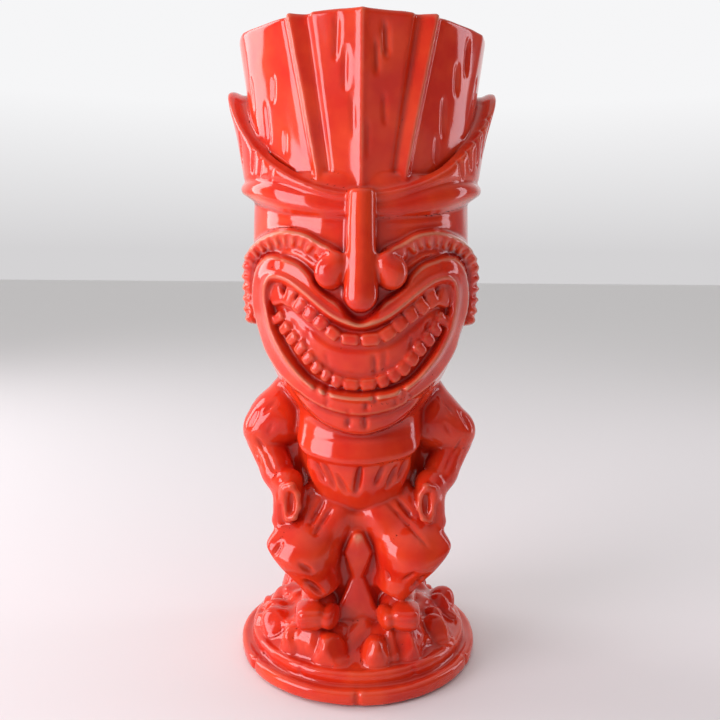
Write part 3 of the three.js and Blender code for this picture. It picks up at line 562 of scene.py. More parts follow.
clay.add("chest", chest, (-22, -32, NECK - 12), (22, -6, NECK + 6), blend=1.6)
gouges(NECK, [(0.3, -9.8, -0.9, -18.6, 1.05), (-6.9, -12.6, -3.6, -18.4, 0.75),
    (-10.8, -9.4, -7.4, -17.4, 0.75), (-13.6, -9.2, -10.4, -15.4, 0.65), (7.4, -10.2, 5, -15.8, 0.8),
    (11.6, -10.6, 8.8, -17, 0.8), (14.6, -8.8, 12.4, -14.4, 0.65)])

# the back: shoulder blades, the spine's furrow, and bark on the stump
for s in (1, -1):
    clay.add("torso_wall", *ball((s * 9.5, 14.5, NECK - 7), (8.6, 7.4, 10.5)), blend=4)
    clay.add("torso_wall", *ball((s * 7.5, 15, FORK + 10), (7, 6.2, 9)), blend=4)
clay.carve(*rope([(0, 24.4, NECK + 2), (0, 23.4, NECK - 10), (0, 24.4, FORK + 4)], [2.2, 1.8, 1.6], 2),
    blend=3)
BARK = np.random.default_rng(9)
for i in range(15):
    turn = radians(112 + 136 * i / 14 + BARK.uniform(-3, 3))
    low_z = SOLE + BARK.uniform(3, 10)
    high_z = low_z + BARK.uniform(9, 15)
    way = (sin(turn), -cos(turn))
    low_r = 20.6 - 0.13 * (low_z - SOLE)
    high_r = 19.2 - 0.09 * (high_z - SOLE)
    clay.carve(*rope([(way[0] * low_r, 6 + way[1] * low_r, low_z), (way[0] * high_r, 6.3 + way[1] * high_r,
        high_z)], [0.9, 0.7]), blend=0.6)

# ---- arms
for hand, s in SIDES:
    drop = 0.6 * s
    limb(f"{hand}_upper_arm", s, [(21.4, 1.5, NECK + 8 - drop), (27.2 - drop, -3.4, NECK - 0.4 - drop),
        (31.6, -5, NECK - 3)], [8.1, 9, 7.3], 3, 1.6)
    limb(f"{hand}_forearm", s, [(31.8, -4.4, NECK - 6.4), (26.9, -10.4, NECK - 16), (23.4, -14.8, FORK + 4)],
        [6.1, 5.1, 4.5], 2, 0.5)
    limb(f"{hand}_hand", s, [(23, -15, FORK + 7), (22.8, -17, FORK + 1), (24.8, -17.6, FORK - 4.5)],
        [5, 4.4, 3.4], 2, 1.2)
    # thumb and forefinger curl round a narrow hollow
    limb(f"{hand}_hand", s, [(23.2, -20.2, FORK + 7), (21.2, -21.2, FORK + 7.8), (19.6, -21.6, FORK + 5.4),
        (19.2, -22, FORK + 1.4), (20.4, -22.6, FORK - 1.8), (21.8, -22.2, FORK - 3)],
        [1.7, 1.5, 1.3, 1.2, 1.1, 0.8], 1, 1)
    limb(f"{hand}_hand", s, [(23.6, -20, FORK + 6), (23.6, -20.8, FORK + 1), (22.6, -21.8, FORK - 2.6)],
        [1.7, 1.5, 1.1], 1, 1)
    clay.carve(*ball((s * 21.4, -23.2, FORK + 2.6), (1.2, 2.6, 3.6)), blend=0.8)
    clay.carve(*groove((s * 24.9, -21.4, FORK + 1.6), (s * 24.8, -21.6, FORK - 3.2), 0.8), blend=0.8)

ARM_GOUGES = [(27.4, 7.4, 31.6, 3.2, 0.5), (33.2, 4, 36, -1.4, 0.5), (27.6, 1.2, 29.6, -2.8, 0.45),
    (33.6, -4, 30.8, -9.4, 0.55), (30.6, -8.8, 27.4, -14.6, 0.55), (34.4, -8.6, 32, -13, 0.45)]
gouges(FORK, LEG_GOUGES)
for s in (1, -1):
    gouges(NECK, [(s * x1, z1, s * x2, z2, width) for x1, z1, x2, z2, width in ARM_GOUGES])

# ---- head skin
# the face is drawn on a grid 35 across and 75 up
UP = (BROW - NECK) / 75
ACROSS = HEAD_R / 34.8
SHAPE = [(0.055, 0.58), (0.14, 0.72), (0.24, 0.835), (0.35, 0.92), (0.5, 0.985), (0.75, 1)]
head_out = level([(NECK - 4, 0.3 * HEAD_R), (NECK - 1, 0.4 * HEAD_R), (NECK + 1, 0.49 * HEAD_R)]
    + [(NECK + up * 75 * UP, out * HEAD_R) for up, out in SHAPE] + [(BROW, 0.985 * HEAD_R),
    (BROW + 8, 0.95 * HEAD_R)])
head_forward = level([(NECK - 4, 1.6), (NECK, 1.5), (NECK + 4, 1.38), (NECK + 10.5, 1.25), (NECK + 18, 1.13),
    (NECK + 37.5, 1.04), (BROW, 1), (BROW + 8, 1)])
U_STEP = 0.25
face_u = np.arange(-68, 68 + U_STEP, U_STEP)
head_at, hx, hy, hz = clay.window((-46, -50, NECK - 4), (46, 46, BROW + 6))
face_z = clay.axes[2][head_at[2]]
face = Plan(face_u, face_z)


def on_face(points):
    return [(x * ACROSS, NECK + z * UP) for x, z in points]


def curve(points, side=1, per=6, up=0):
    """A curve through points of the face's grid."""
    return spline([(side * x, z + up) for x, z in on_face(points)], per=per)


def outline(points):
    """Distance to the closed outline whose half this is, below 0 inside it."""
    return face.signed(spline(on_face(both_sides(points)), closed=True, per=6))


# outlines and lines of the face, for the half with x > 0
MOUTH = [(0, 35.4), (3.7, 36.1), (8.4, 38.3), (13.2, 41.9), (17.1, 45.1), (21.1, 47.8), (24.7, 48.8),
    (27.2, 48.2), (28.8, 45.4), (29.1, 41.5), (28.4, 37), (27, 31.8), (24, 26.2), (20.1, 21.3), (16.3, 17.8),
    (12.3, 15.5), (8.4, 14.3), (2.7, 13.6), (0, 13.5)]
MUZZLE = [(0, 36.5), (3.1, 38.5), (6.1, 42), (9.2, 44), (12.3, 46.5), (13.8, 49.5), (16.9, 52.5),
    (20.7, 54.2), (25.8, 55.4), (29.6, 54.6), (33, 51), (34.9, 45), (35.2, 40), (34, 34.3), (30.7, 25),
    (26.4, 18.7), (21.5, 14.4), (13.4, 9.9), (6.5, 7.9), (0, 7.2)]
CHIN = [(0, 16), (14, 18), (26, 23), (27.5, 20), (24, 15.6), (19.4, 10.8), (14.7, 5.3), (8.6, 1.8),
    (2.2, 0.1), (0, 0)]
TONGUE = [(0, 27.6), (8, 28.6), (14, 32.6), (19.6, 37.4), (22.2, 38.4), (22.4, 36.4), (19.2, 31.4),
    (14.6, 26.6), (8.4, 22.3), (2, 20.8), (0, 20.7)]
EYE_TOP = [(6, 55.8), (8.4, 57.4), (11.3, 59), (15.4, 61.3), (19.7, 62.3), (23.6, 62.4), (28.3, 61.2),
    (32.3, 59.2), (35.7, 56.5), (38.8, 53), (41, 48), (42, 42), (41, 36), (38, 31.5)]
BROW_LOW = [(4.2, 65.8), (9, 65.8), (13.3, 66), (22.4, 67.2), (28.2, 69), (34, 71), (38.7, 72.4), (45, 73.2),
    (50, 73.5)]
BROW_TOP = [(4.2, 69.6), (9, 71), (14.4, 72.9), (23.4, 76), (30, 77.2), (36.3, 77.6), (42, 78), (50, 78)]


def plate(sd, height, edge):
    return height * ease(-sd / edge)


mouth, muzzle = outline(MOUTH), outline(MUZZLE)
h = face.height
u_abs = np.abs(face.u) / ACROSS
zg = (face.z - NECK) / UP

# eyes: a hooded band that dips towards the cheek, with saw teeth under its upper edge
for hand, side in SIDES:
    top = curve(EYE_TOP, side)
    rest = [(side * x, z) for x, z in on_face([(34, 32), (30, 45), (18, 47), (6, 47)])]
    eye = face.signed(np.vstack([top, rest]))
    edge, along = face.near(top)
    wrap = ease((face.u * side / ACROSS - 26) / 12)
    dish = 0.5 + (2.9 + 1.1 * wrap) * np.clip(1 - (edge - 0.8) / 7.5, 0, 1)
    inner = eye < 0
    saw = np.abs(((along / 3.3) % 1) - 0.5) * 2
    teeth_mask = ease((6.2 - edge - 4.2 * saw) / 0.6)
    not_tooth = (1 - teeth_mask) * ease((edge - 1.5) / 0.5) * ease((6.8 - edge) / 0.8)
    dish = dish - 1.3 * not_tooth * (1 - wrap)
    beads = 0.5 * wrap * np.cos(2 * pi * along / 3.9) * ease((5.5 - edge) / 3)
    shape_h = np.where(inner, (dish + beads) * ease(-eye / 1), 0)
    h[:] = np.maximum(h, shape_h)
    face.name[inner & (shape_h > 0.05)] = clay.tag(f"{hand}_eye")
    # the small tear-shaped wedge beside the nose
    tear = face.signed(spline([(side * x, z) for x, z in on_face([(6.4, 57.6), (11, 58.4), (8.6, 53.8),
        (6.2, 53.6)])], closed=True))
    h += plate(tear, 0.7, 1.2)

# chin: a band under the muzzle
chin = outline(CHIN)
h[:] = np.maximum(h, plate(chin, 1.7, 1.5))
face.name[chin < 0] = clay.tag("chin")

# muzzle plate, with a fine bead along its edge and full cheeks
muzzle_h = plate(muzzle, 2.7, 1.6) + 0.55 * bump(muzzle + 1.1, 1.1)
cheek = np.exp(-(((u_abs - 28.5) / 8) ** 2) - ((zg - 50) / 7) ** 2)
muzzle_h = muzzle_h + 1.1 * cheek * ease(-muzzle / 3)
blend_in = muzzle < 0
h[:] = np.where(blend_in, np.maximum(muzzle_h, h * ease((muzzle + 0.8) / 0.8)), h)
h -= 0.55 * bump(muzzle - 0.3, 1) * (h > 0.2)
face.name[blend_in] = clay.tag("muzzle")

# mouth: the lip ridge round a sunk floor
deep = mouth + 2 + 1.1 * ease((u_abs - 14) / 10)
h[:] = np.where(mouth < 0, 0.4 + (h - 0.4) * ease(deep / 1.8), h)
h += 1.3 * bump(mouth + 0.1, 1.6) + 0.25 * bump(mouth + 0.4, 0.7)
face.name[np.abs(mouth) < 1.9] = clay.tag("lips")
face.name[mouth < -1.9] = clay.tag("head_wall")

# tongue plate
tongue = outline(TONGUE)
h += plate(tongue, 0.5, 0.7)
face.name[tongue < 0] = clay.tag("tongue")
# the teeth have their numbers here, and are set once the head's skin is on
for name in ("upper_teeth", "lower_teeth"):
    clay.tag(name)

# brows: a roll that thickens towards the temples
for hand, side in SIDES:
    ul = face.u[:, 0] * side
    edges = []
    for p in (curve(BROW_LOW, side), curve(BROW_TOP, side)):
        order = np.argsort(side * p[:, 0])
        edges.append(np.interp(ul, side * p[order, 0], p[order, 1])[:, None])
    lower, upper = edges
    mid, half = (lower + upper) / 2, (upper - lower) / 2
    across = (face.z - mid) / np.maximum(half, 1)
    reach = ul[:, None] / ACROSS
    thick = 1.5 + 2.9 * ease((reach - 8) / 28)
    roll = thick * np.sqrt(np.clip(1 - np.abs(across) ** 2.6, 0, 1))
    fade = ease((46.5 - reach) / 7) * (reach > 0)
    brow_in = (np.abs(across) < 1) & (reach > 0) & (reach < 47)
    h[:] = np.maximum(h, np.where(brow_in, roll * fade, 0))
    face.name[brow_in] = clay.tag(f"{hand}_brow")
    # the fold that runs under the brow
    fold = bump(face.z - lower + 1.9, 0.9) * ease((reach - 6) / 4) * ease((30 - reach) / 8)
    h += 0.35 * fold
# a soft crease over the brows
for side in (1, -1):
    d, _ = face.near(curve(BROW_TOP, side, up=0.5))
    h -= 0.7 * bump(d, 1.3) * ease((46 - face.u * side / ACROSS) / 6)

# chisel marks on the face
face.nicks([(-23.5, 52.3, 3.8, 4, 0.42, 0.5), (23.6, 52, 3.8, 8, 0.42, 0.5), (-24.6, 41.5, 1.2, 0, 0.4, 0.2),
    (-32.4, 27.5, 9, -18, 0.8, 0.8), (31.4, 30.5, 7.5, 8, 0.7, 0.5), (-30, 22, 6, -30, 0.6, 0.6),
    (4.4, 13.6, 3, 0, 0.6, 1.3), (12.6, 15.6, 3, 14, 0.6, 1.3), (-9.6, 14.8, 3, -10, 0.6, 1.3),
    (-12.8, 15.8, 3, -14, 0.6, 1.3), (1.9, 11.2, 3.2, 0, 0.6, 0.7), (-9.6, 11.6, 3, -4, 0.55, 0.6),
    (10.4, 12, 2.8, 6, 0.55, 0.6), (14.9, 12.8, 4.2, 8, 0.6, 0.8), (-3.3, 5.2, 3.4, 3, 0.8, 0.8),
    (1.6, 5.2, 4.2, -6, 0.7, 0.9), (-3.2, 9.3, 1.6, 0, 0.7, 0.5), (-17.6, 11.8, 6, -34, 0.6, 0.5),
    (4.3, 23.4, 7, -3, 0.6, 0.8), (7.2, 24.6, 6.4, 4, 0.5, 0.5), (-9.6, 24.8, 4.6, -12, 0.5, 0.5),
    (14.8, 29.6, 4.6, 6, 0.6, 0.6), (19.6, 34.2, 3.6, 22, 0.6, 0.7), (-15.6, 30.6, 4.4, 10, 0.5, 0.5),
    (-19.3, 34.4, 3.6, -22, 0.5, 0.5)], ACROSS, NECK, UP)

# strands cut down the back of the head
HAIR = np.random.default_rng(5)
for low_z, high_z in ((10, 26), (26, 44), (44, 62)):
    for i in range(11):
        for side in (1, -1):
            u = (43.5 + 2.1 * i + HAIR.uniform(-0.4, 0.4)) * ACROSS
            up = NECK + HAIR.uniform(low_z, high_z) * UP
            lean = side * HAIR.uniform(-3, 3)
            width, depth = HAIR.uniform(0.45, 0.7), HAIR.uniform(0.8, 1.2)
            face.nick(side * u, up, HAIR.uniform(10, 17), lean, width, depth)

# the face plan laid on the head's skin
R3, F3 = head_out(hz).astype(F32), head_forward(hz).astype(F32)


def face_place(x, y, surface, forward):
    """Where a spot lies on the face plan: as seen from the front, then on round the side."""
    r = radius(x, y, forward)
    ys = np.where(y < 0, y / forward, y)
    turn = np.abs(np.arctan2(x + 0 * ys, -ys))
    s60 = sin(pi / 3)
    u = np.where(turn < pi / 3, np.sin(turn), s60 + (turn - pi / 3) * 0.5)
    return r, np.sign(x) * np.clip(r, surface - 1, surface + 6) * u


hr, hu = face_place(hx, hy, R3, F3)
slope = np.gradient(head_out(face_z), face_z)
d_head = (hr - R3) * (1 / np.sqrt(1 + slope**2)).astype(F32)
col = np.clip((hu - face_u[0]) / U_STEP, 0, len(face_u) - 2)
ci = col.astype(np.int32)
cf = (col - ci).astype(F32)
zi = np.broadcast_to(np.arange(len(face_z)), col.shape)
relief = face.height[ci, zi] * (1 - cf) + face.height[ci + 1, zi] * cf
names = face.name[np.where(cf > 0.5, ci + 1, ci), zi]
del col, cf, zi
d_face = np.maximum(d_head - relief, (NECK - 2.2 - hz) * 0.9)
# the top of the head runs up into the crown and stops there
d_face = smax(d_face, hz - BROW - 3, 1).astype(F32)
own = np.where((d_head > 0) & (names > 0), names, clay.tag("head_wall")).astype(np.uint8)
clay.join(head_at, d_face, own, 1.2)
del relief, names, hr, hu, d_head, d_face, own


# ---- teeth
def set_tooth(name, x, z, turn, wide, tall, thick):
    """A rounded block standing on the head's wall."""
    out_r = float(head_out(z)) + thick
    sine = x / out_r
    cosine = math.sqrt(1 - sine * sine)
    centre = ((out_r - 2.2) * sine, -(out_r - 2.2) * cosine * float(head_forward(z)), z)
    out = np.array((sine, -cosine, 0))
    level_way = np.array((cosine, sine, 0))
    a = level_way * cos(turn) + np.array((0, 0, sin(turn)))
    b = -level_way * sin(turn) + np.array((0, 0, cos(turn)))
    half = (wide / 2 / math.hypot(cosine * cos(turn), sin(turn)) - 0.36, tall / 2 + 0.2, 2.2)

    def block(x, y, z):
        q = [np.abs(dot(x, y, z, centre, way)) - size + 0.55 for way, size in zip((a, b, out), half)]
        outside = np.sqrt(sum(np.maximum(v, 0) ** 2 for v in q))
        return outside + np.minimum(np.maximum(np.maximum(q[0], q[1]), q[2]), 0) - 0.55

    c = np.array(centre)
    clay.add(name, block, c - 4.5, c + 4.5, blend=0)


def tooth_row(name, centre_line, sizes, thick):
    """Teeth in a row from the middle outwards, each (length along the row, height)."""
    for side in (1, -1):
        p = curve(centre_line, side, 12)
        steps = np.linalg.norm(np.diff(p, axis=0), axis=1)
        run = np.concatenate([[0], np.cumsum(steps)])
        at = 0
        k = run[-1] / sum(w for w, _ in sizes)
        for w, tall in sizes:
            mid = at + w * k / 2
            at += w * k
            x, z = (np.interp(mid, run, p[:, i]) for i in (0, 1))
            x2, z2 = (np.interp(mid + 0.3, run, p[:, i]) for i in (0, 1))
            turn = math.atan2(z2 - z, (x2 - x) * side) * side
            set_tooth(name, x, z, turn, w * k, tall, thick)


UPPER = [(0, 30.9), (4, 31.1), (7, 32), (10, 34.1), (13.4, 36.8), (16.9, 39.3), (20.8, 42.2), (24.4, 43.4),
    (27.6, 42.6)]
LOWER = [(0, 17.4), (4, 17.7), (8, 18.8), (12.1, 21.2), (15, 24), (17.9, 27.4), (20.9, 30.6), (23.6, 34),
    (26, 37.8)]
tooth_row("upper_teeth", UPPER, [(5.4, 3.2), (4.4, 3.3), (3.9, 3.8), (3.6, 4.2), (3.5, 4.7), (3.4, 5.2),
    (4.2, 6.4)], 2.5)
tooth_row("lower_teeth", LOWER, [(4.6, 3.1), (3.4, 3.5), (3.1, 3.7), (3.3, 3.9), (3.4, 4.1), (3.3, 4.2),
    (3.3, 4.3), (3.3, 4.3), (3.2, 4.4)], 2.4)

# ---- nose
NOSE_TIP = NECK + 39.4 * UP


def nose(x, y, z):
    """A long bar with a soft ridge down its front and a blunt tip."""
    t = np.clip((BROW - 2 - z) / (BROW - 2 - NOSE_TIP), 0, 1)
    half = 3.9 + 1 * t
    front = -(HEAD_R + 5.6 + 3.6 * t)
    facet = -(y - front) + 0.62 * np.sqrt(x * x + 0.8)
    side = np.abs(x) - half
    tip = np.sqrt((1.08 * x) ** 2 + ((z - NOSE_TIP - 5) * 0.98) ** 2) - 5.2
    lower = np.where(z < NOSE_TIP + 5, tip, side)
    body = smax(smax(facet * 0.92, np.maximum(side, lower), 2.2), z - BROW + 1.6, 1.2)
    under = -(y - front) + 0.5 * np.maximum(NOSE_TIP + 4 - z, 0) ** 1.2
    return smax(body, smax(under * 0.8, y + HEAD_R - 6, 1), 1.6)


clay.add("nose", nose, (-7, -50, NOSE_TIP - 2), (7, -HEAD_R + 8, BROW + 2), blend=0.8)
for hand, s in SIDES:
    clay.add(f"{hand}_nostril", *ball((s * 8.8, -HEAD_R - 1.4, NECK + 50.2 * UP), (4.5, 4.4, 5.1)),
        blend=0.7)
    clay.add(f"{hand}_nostril", *ball((s * 6.9, -HEAD_R - 3.2, NECK + 53 * UP), (2.4, 2.4, 3.2)), blend=2)

# ---- crown and headband
FAN = radians(10.7)  # how far the ribs fan out
TURN_STEP = 0.4  # degrees from column to column of the crown's sheets
CROWN_MM, BAND_MM = 0.62, 0.68  # millimetres for each degree, on the crown's and the band's sheet
LEDGE_LOW, LEDGE_SLOPE = BROW - 5.2, 0.93
crown_at, cx3, cy3, cz3 = clay.window((-48, -50, BROW - 8), (48, 48, RIM + 2))
crown_z = clay.axes[2][crown_at[2]]
turns = np.radians(np.arange(-180, 180.01, TURN_STEP))
share = np.clip((crown_z - BROW) / (RIM - BROW), -0.2, 1.05)[None, :]
t_rim = np.repeat(turns[:, None], len(crown_z), 1)
for _ in range(12):
    t_rim = turns[:, None] + (1 - share) * FAN * np.sin(2 * t_rim)
deg = np.degrees(t_rim)
front = np.where(np.abs(deg) > 90, 180 - np.abs(deg), np.abs(deg))
RIB_A, RIB_CREST, RIB_B, SIDE = 23.2, 30.6, 34.2, 66
# the rim's outline round a quarter, as angle and rise: ridge, valley, rib, panels
OUTLINE = [(0, 3.5), (21.4, 0.9), (RIB_A, -0.5), (24.6, -0.3), (RIB_CREST - 1.2, 2.2), (RIB_CREST, 2.5),
    (31.8, 2.1), (RIB_B, -0.1), (37, 0.1), (SIDE, 1.1), (90, 0.6)]
EDGE = RIM_R - 1
crown_rise = np.zeros(deg.shape)
for (t1, h1), (t2, h2) in zip(OUTLINE[:-1], OUTLINE[1:]):
    r1, r2 = EDGE + h1, EDGE + h2
    a1, a2, a = np.radians(t1), np.radians(t2), np.radians(front)
    chord = r1 * r2 * sin(a2 - a1) / np.maximum(r1 * np.sin(a - a1) + r2 * np.sin(a2 - a), 1e-6)
    full = 0.55 if t2 - t1 > 15 and t1 > 30 else 0
    arc = full * np.sin(np.clip((front - t1) / (t2 - t1), 0, 1) * pi)
    crown_rise = np.where((front >= t1) & (front <= t2), chord - EDGE + arc, crown_rise)
crown_rise = crown_rise * (0.72 + 0.28 * np.clip(share, 0, 1))
crown_rise += 0.5 * bump(front, 1.5) + 0.4 * bump(front - RIB_CREST, 1.5)
crown_rise[1:-1] = 0.5 * crown_rise[1:-1] + 0.25 * (crown_rise[:-2] + crown_rise[2:])
crown_plan = Plan(np.degrees(turns) * CROWN_MM, crown_z)
crown_plan.height = crown_rise.astype(F32)
MARKS = np.random.default_rng(21)
marks = [(-7.2, 30, 12, 2, 0.75, 0.7), (-4, 18, 12, -1, 0.7, 0.6), (-10.6, 38, 12, 4, 0.9, 0.8),
    (5.6, 33, 9.5, -2, 0.75, 0.8), (9.4, 37.5, 9.5, -4, 0.9, 0.9), (10, 20, 9, -4, 0.6, 0.6),
    (2.6, 12, 10, -1, 0.6, 0.5), (-46, 27, 8, 8, 0.7, 0.6), (-41, 12, 7, 8, 0.6, 0.5),
    (43, 19, 12, -8, 0.7, 0.8), (49, 30, 9, -8, 0.8, 0.8), (40.5, 10, 8, -8, 0.6, 0.6)]
for _ in range(14):
    marks.append((MARKS.uniform(40, 172) * MARKS.choice([-1, 1]), MARKS.uniform(8, 38), MARKS.uniform(7, 13),
        MARKS.uniform(-6, 6), MARKS.uniform(0.6, 0.9), MARKS.uniform(0.5, 0.9)))
crown_plan.nicks(marks, CROWN_MM, BROW)


def around(plan, x, y):
    """A plan's heights at each spot, by its angle from the front."""
    turn = np.arctan2(x + 0 * y, -y + 0 * x)[:, :, 0]
    col = np.clip((turn + pi) / radians(TURN_STEP), 0, plan.shape[0] - 2)
    i = col.astype(np.int32)
    f = (col - i)[:, :, None].astype(F32)
    return plan[i] * (1 - f) + plan[i + 1] * f


cr = radius(cx3, cy3)
crown_out = CROWN_FOOT_R + np.clip((cz3 - BROW) / (RIM - BROW), -0.3, 1.1) * (RIM_R - CROWN_FOOT_R)
d_skin = (cr - crown_out) * 0.99
rise = around(crown_plan.height, cx3, cy3)
d_crown = d_skin - rise
d_crown = smax(d_crown, cz3 - RIM, 0.9)
d_crown = smax(d_crown, BROW - 5 - cz3, 1).astype(F32)
front3 = around(front.astype(F32), cx3, cy3)
deg3 = around(deg.astype(F32), cx3, cy3)
own = np.full(d_crown.shape, clay.tag("crown_wall"), np.uint8)
out = d_skin > -1.6
for end, ahead in (("front", True), ("back", False)):
    here = out & ((np.abs(deg3) < 90) == ahead)
    own[here & (front3 < RIB_A)] = clay.tag(f"crown_{end}_prow")
    for hand, s in SIDES:
        this = here & (deg3 * s > 0)
        own[this & (front3 >= RIB_A) & (front3 < RIB_B)] = clay.tag(f"crown_{end}_{hand}_rib")
        own[this & (front3 >= RIB_B) & (front3 < SIDE)] = clay.tag(f"crown_{end}_{hand}_panel")
        own[this & (front3 >= SIDE)] = clay.tag(f"crown_side_{hand}_panel")
clay.join(crown_at, d_crown, own, 0.5)

# the band: flared, sloped down to the brow in front, level behind
band_out = level([(BROW - 8, HEAD_R + 0.6), (BROW - 4, HEAD_R + 1.6), (BROW + 2, HEAD_R + 2.7),
    (BROW + 0.5 * (BAND_TOP - BROW), 0.5 * (HEAD_R + BAND_R) + 0.6), (BAND_TOP - 1, BAND_R - 0.1),
    (BAND_TOP + 8, BAND_R + 1.6)])
band_plan = Plan(np.degrees(turns) * BAND_MM, crown_z)
band_plan.nicks([(-58, 7, 8, 28, 0.6, 0.6), (-52, 5, 6, 30, 0.5, 0.5), (-44, 3.4, 5, 30, 0.5, 0.4),
    (50, 6, 9, -30, 0.6, 0.7), (57, 9, 10, -28, 0.6, 0.7), (64, 12, 12, -25, 0.7, 0.8),
    (71, 15, 12, -22, 0.7, 0.8), (78, 18, 12, -18, 0.7, 0.8), (-72, 12, 10, 24, 0.7, 0.7),
    (-84, 18, 12, 18, 0.7, 0.7)], BAND_MM, BROW, deep=1.4)
for i in range(16):
    band_plan.nick(MARKS.uniform(88, 178) * MARKS.choice([-1, 1]) * BAND_MM, BROW + MARKS.uniform(3, 24),
        MARKS.uniform(6, 12), MARKS.uniform(-16, 16), 0.7, 0.7)
cut = LEDGE_LOW + LEDGE_SLOPE * (cy3 + HEAD_R + 4.6)
ledge = smin(cut, np.full_like(cut, BAND_TOP), 5)
tilt = np.where(cy3 < -2, 0.73, 1)
trough_w = bump(cr - crown_out - 2.2, 3.2)
d_top = (cz3 - ledge) * tilt + 1.1 * trough_w
d_side = (cr - band_out(cz3) - around(band_plan.height, cx3, cy3)) * 0.97
d_band = smax(d_side, d_top, 1.3)
brow_x, brow_z = np.array(on_face(BROW_TOP)).T
foot_line = np.interp(np.abs(cx3[:, 0, 0]), brow_x, brow_z)[:, None, None]
# the band's lower edge follows the brows in front and drops behind
foot_line = foot_line - 0.7 - (foot_line - BROW + 3) * ease((cy3 - 6) / 16)
d_band = smax(d_band, (foot_line - cz3) * 0.9, 1.6)
d_band = np.maximum(d_band, -(d_skin - 1)).astype(F32)
clay.join(crown_at, d_band, clay.tag("headband"), 0.5)
del cr, rise, d_skin, d_crown, front3, deg3, own, out, d_top, d_side, d_band, trough_w

# little chevrons on the ledge before the prow
for x, up, wide in ((-15, 4.6, 1.4), (-9.6, 2.6, 1.6), (9.2, 2.2, 1.6), (20.5, 6.6, 1.3), (24.5, 9.4, 1)):
    y = -math.sqrt(max((HEAD_R + 2) ** 2 - x * x, 0))
    z = LEDGE_LOW + LEDGE_SLOPE * (y + HEAD_R + 4.6)
    for lean in (-1, 1):
        clay.carve(*groove((x, y - 0.6, z - 0.9), (x + lean * wide, y + 0.7, z + 1.2), 0.5), blend=0.5)


# ---- the cup's inside
BORE = [(FORK + WALL - 0.01, 12), (FORK + WALL, 12.5), (FORK + 9, 15.5), (FORK + 15, 16.6), (NECK - 3, 12.2),
    (NECK + 2, 12.2), (NECK + 19, 25), (NECK + 38, 30), (BROW - 2, 30.2), (BROW + 2, 28.8),
    (RIM + 6, RIM_R - WALL + 0.6)]


def cavity(x, y, z):
    bore = np.interp(z, *np.transpose(BORE))
    return np.maximum((radius(x, y) - bore) * 0.95, FORK + WALL - z)


clay.carve(cavity, (-36, -36, FORK + WALL - 1), (36, 36, RIM + 3), blend=1.2)


# ---- glaze softening and texture
def blur(field, passes):
    """Averages each spot with its neighbours."""
    f = field
    for _ in range(passes):
        for axis in range(3):
            g = np.moveaxis(f, axis, 0)
            new = g.copy()
            new[1:-1] = 0.5 * g[1:-1] + 0.25 * (g[:-2] + g[2:])
            f = np.moveaxis(new, 0, axis)
    return np.ascontiguousarray(f)


def noise(scale, seed):
    """Smooth random heights over the whole grid, about -1 to 1."""
    rng = np.random.default_rng(seed)
    knots = [int(math.ceil(n * clay.pitch / s)) + 4 for n, s in zip(clay.n, scale)]
    field = rng.normal(size=knots).astype(F32)
    for axis in range(3):
        t = np.arange(clay.n[axis]) * clay.pitch / scale[axis] + 1
        i = t.astype(int)
        f = t - i
        w = [(1 - f) ** 3 / 6, (3 * f**3 - 6 * f**2 + 4) / 6, (-3 * f**3 + 3 * f**2 + 3 * f + 1) / 6,
            f**3 / 6]
        moved = np.moveaxis(field, axis, 0)
        shape = (-1,) + (1,) * (moved.ndim - 1)
        new = sum(moved[i + k - 1] * w[k].reshape(shape).astype(F32) for k in range(4))
        field = np.moveaxis(new, 0, axis)
    return field


clay.phi += 0.22 * noise((7, 7, 9), 3)
clay.phi += 0.1 * noise((2.6, 2.6, 5), 4)
clay.phi = blur(clay.phi, 1)
# the foot stays flat
clay.phi[:, :, clay.axes[2] < 0] = np.maximum(clay.phi[:, :, clay.axes[2] < 0], 0.2)

soft = blur(clay.phi, 1)
fine = blur(soft, 2)
broad = blur(fine, 22)


# ---- from the grid to meshes
CORNERS = [(i, j, k) for i in (0, 1) for j in (0, 1) for k in (0, 1)]


def sample(field, p):
    """The field's value at points given in grid steps."""
    i = np.clip(p.astype(np.int32), 0, np.array(field.shape) - 2)
    f = (p - i).astype(F32)
    total = 0
    for c in CORNERS:
        w = math.prod(f[:, axis] if c[axis] else 1 - f[:, axis] for axis in range(3))
        total = total + w * field[i[:, 0] + c[0], i[:, 1] + c[1], i[:, 2] + c[2]]
    return total


WAYS = [(step, axis) for axis in range(3) for step in (1, -1)]  # to the six neighbours
phi = clay.phi
# a spot whose piece has at most two neighbours of its own goes to another piece beside it
tag = np.where(phi < 0, clay.owner, 0).astype(np.uint8)
for _ in range(3):
    weak = (tag > 0) & (sum(np.roll(tag, *way) == tag for way in WAYS) <= 2)
    for way in WAYS:
        other = np.roll(tag, *way)
        swap = weak & (other > 0) & (other != tag)
        tag[swap] = other[swap]
        weak &= ~swap
nx, ny, nz = tag.shape


def corner(field, c):
    return field[c[0] : nx - 1 + c[0], c[1] : ny - 1 + c[1], c[2] : nz - 1 + c[2]]


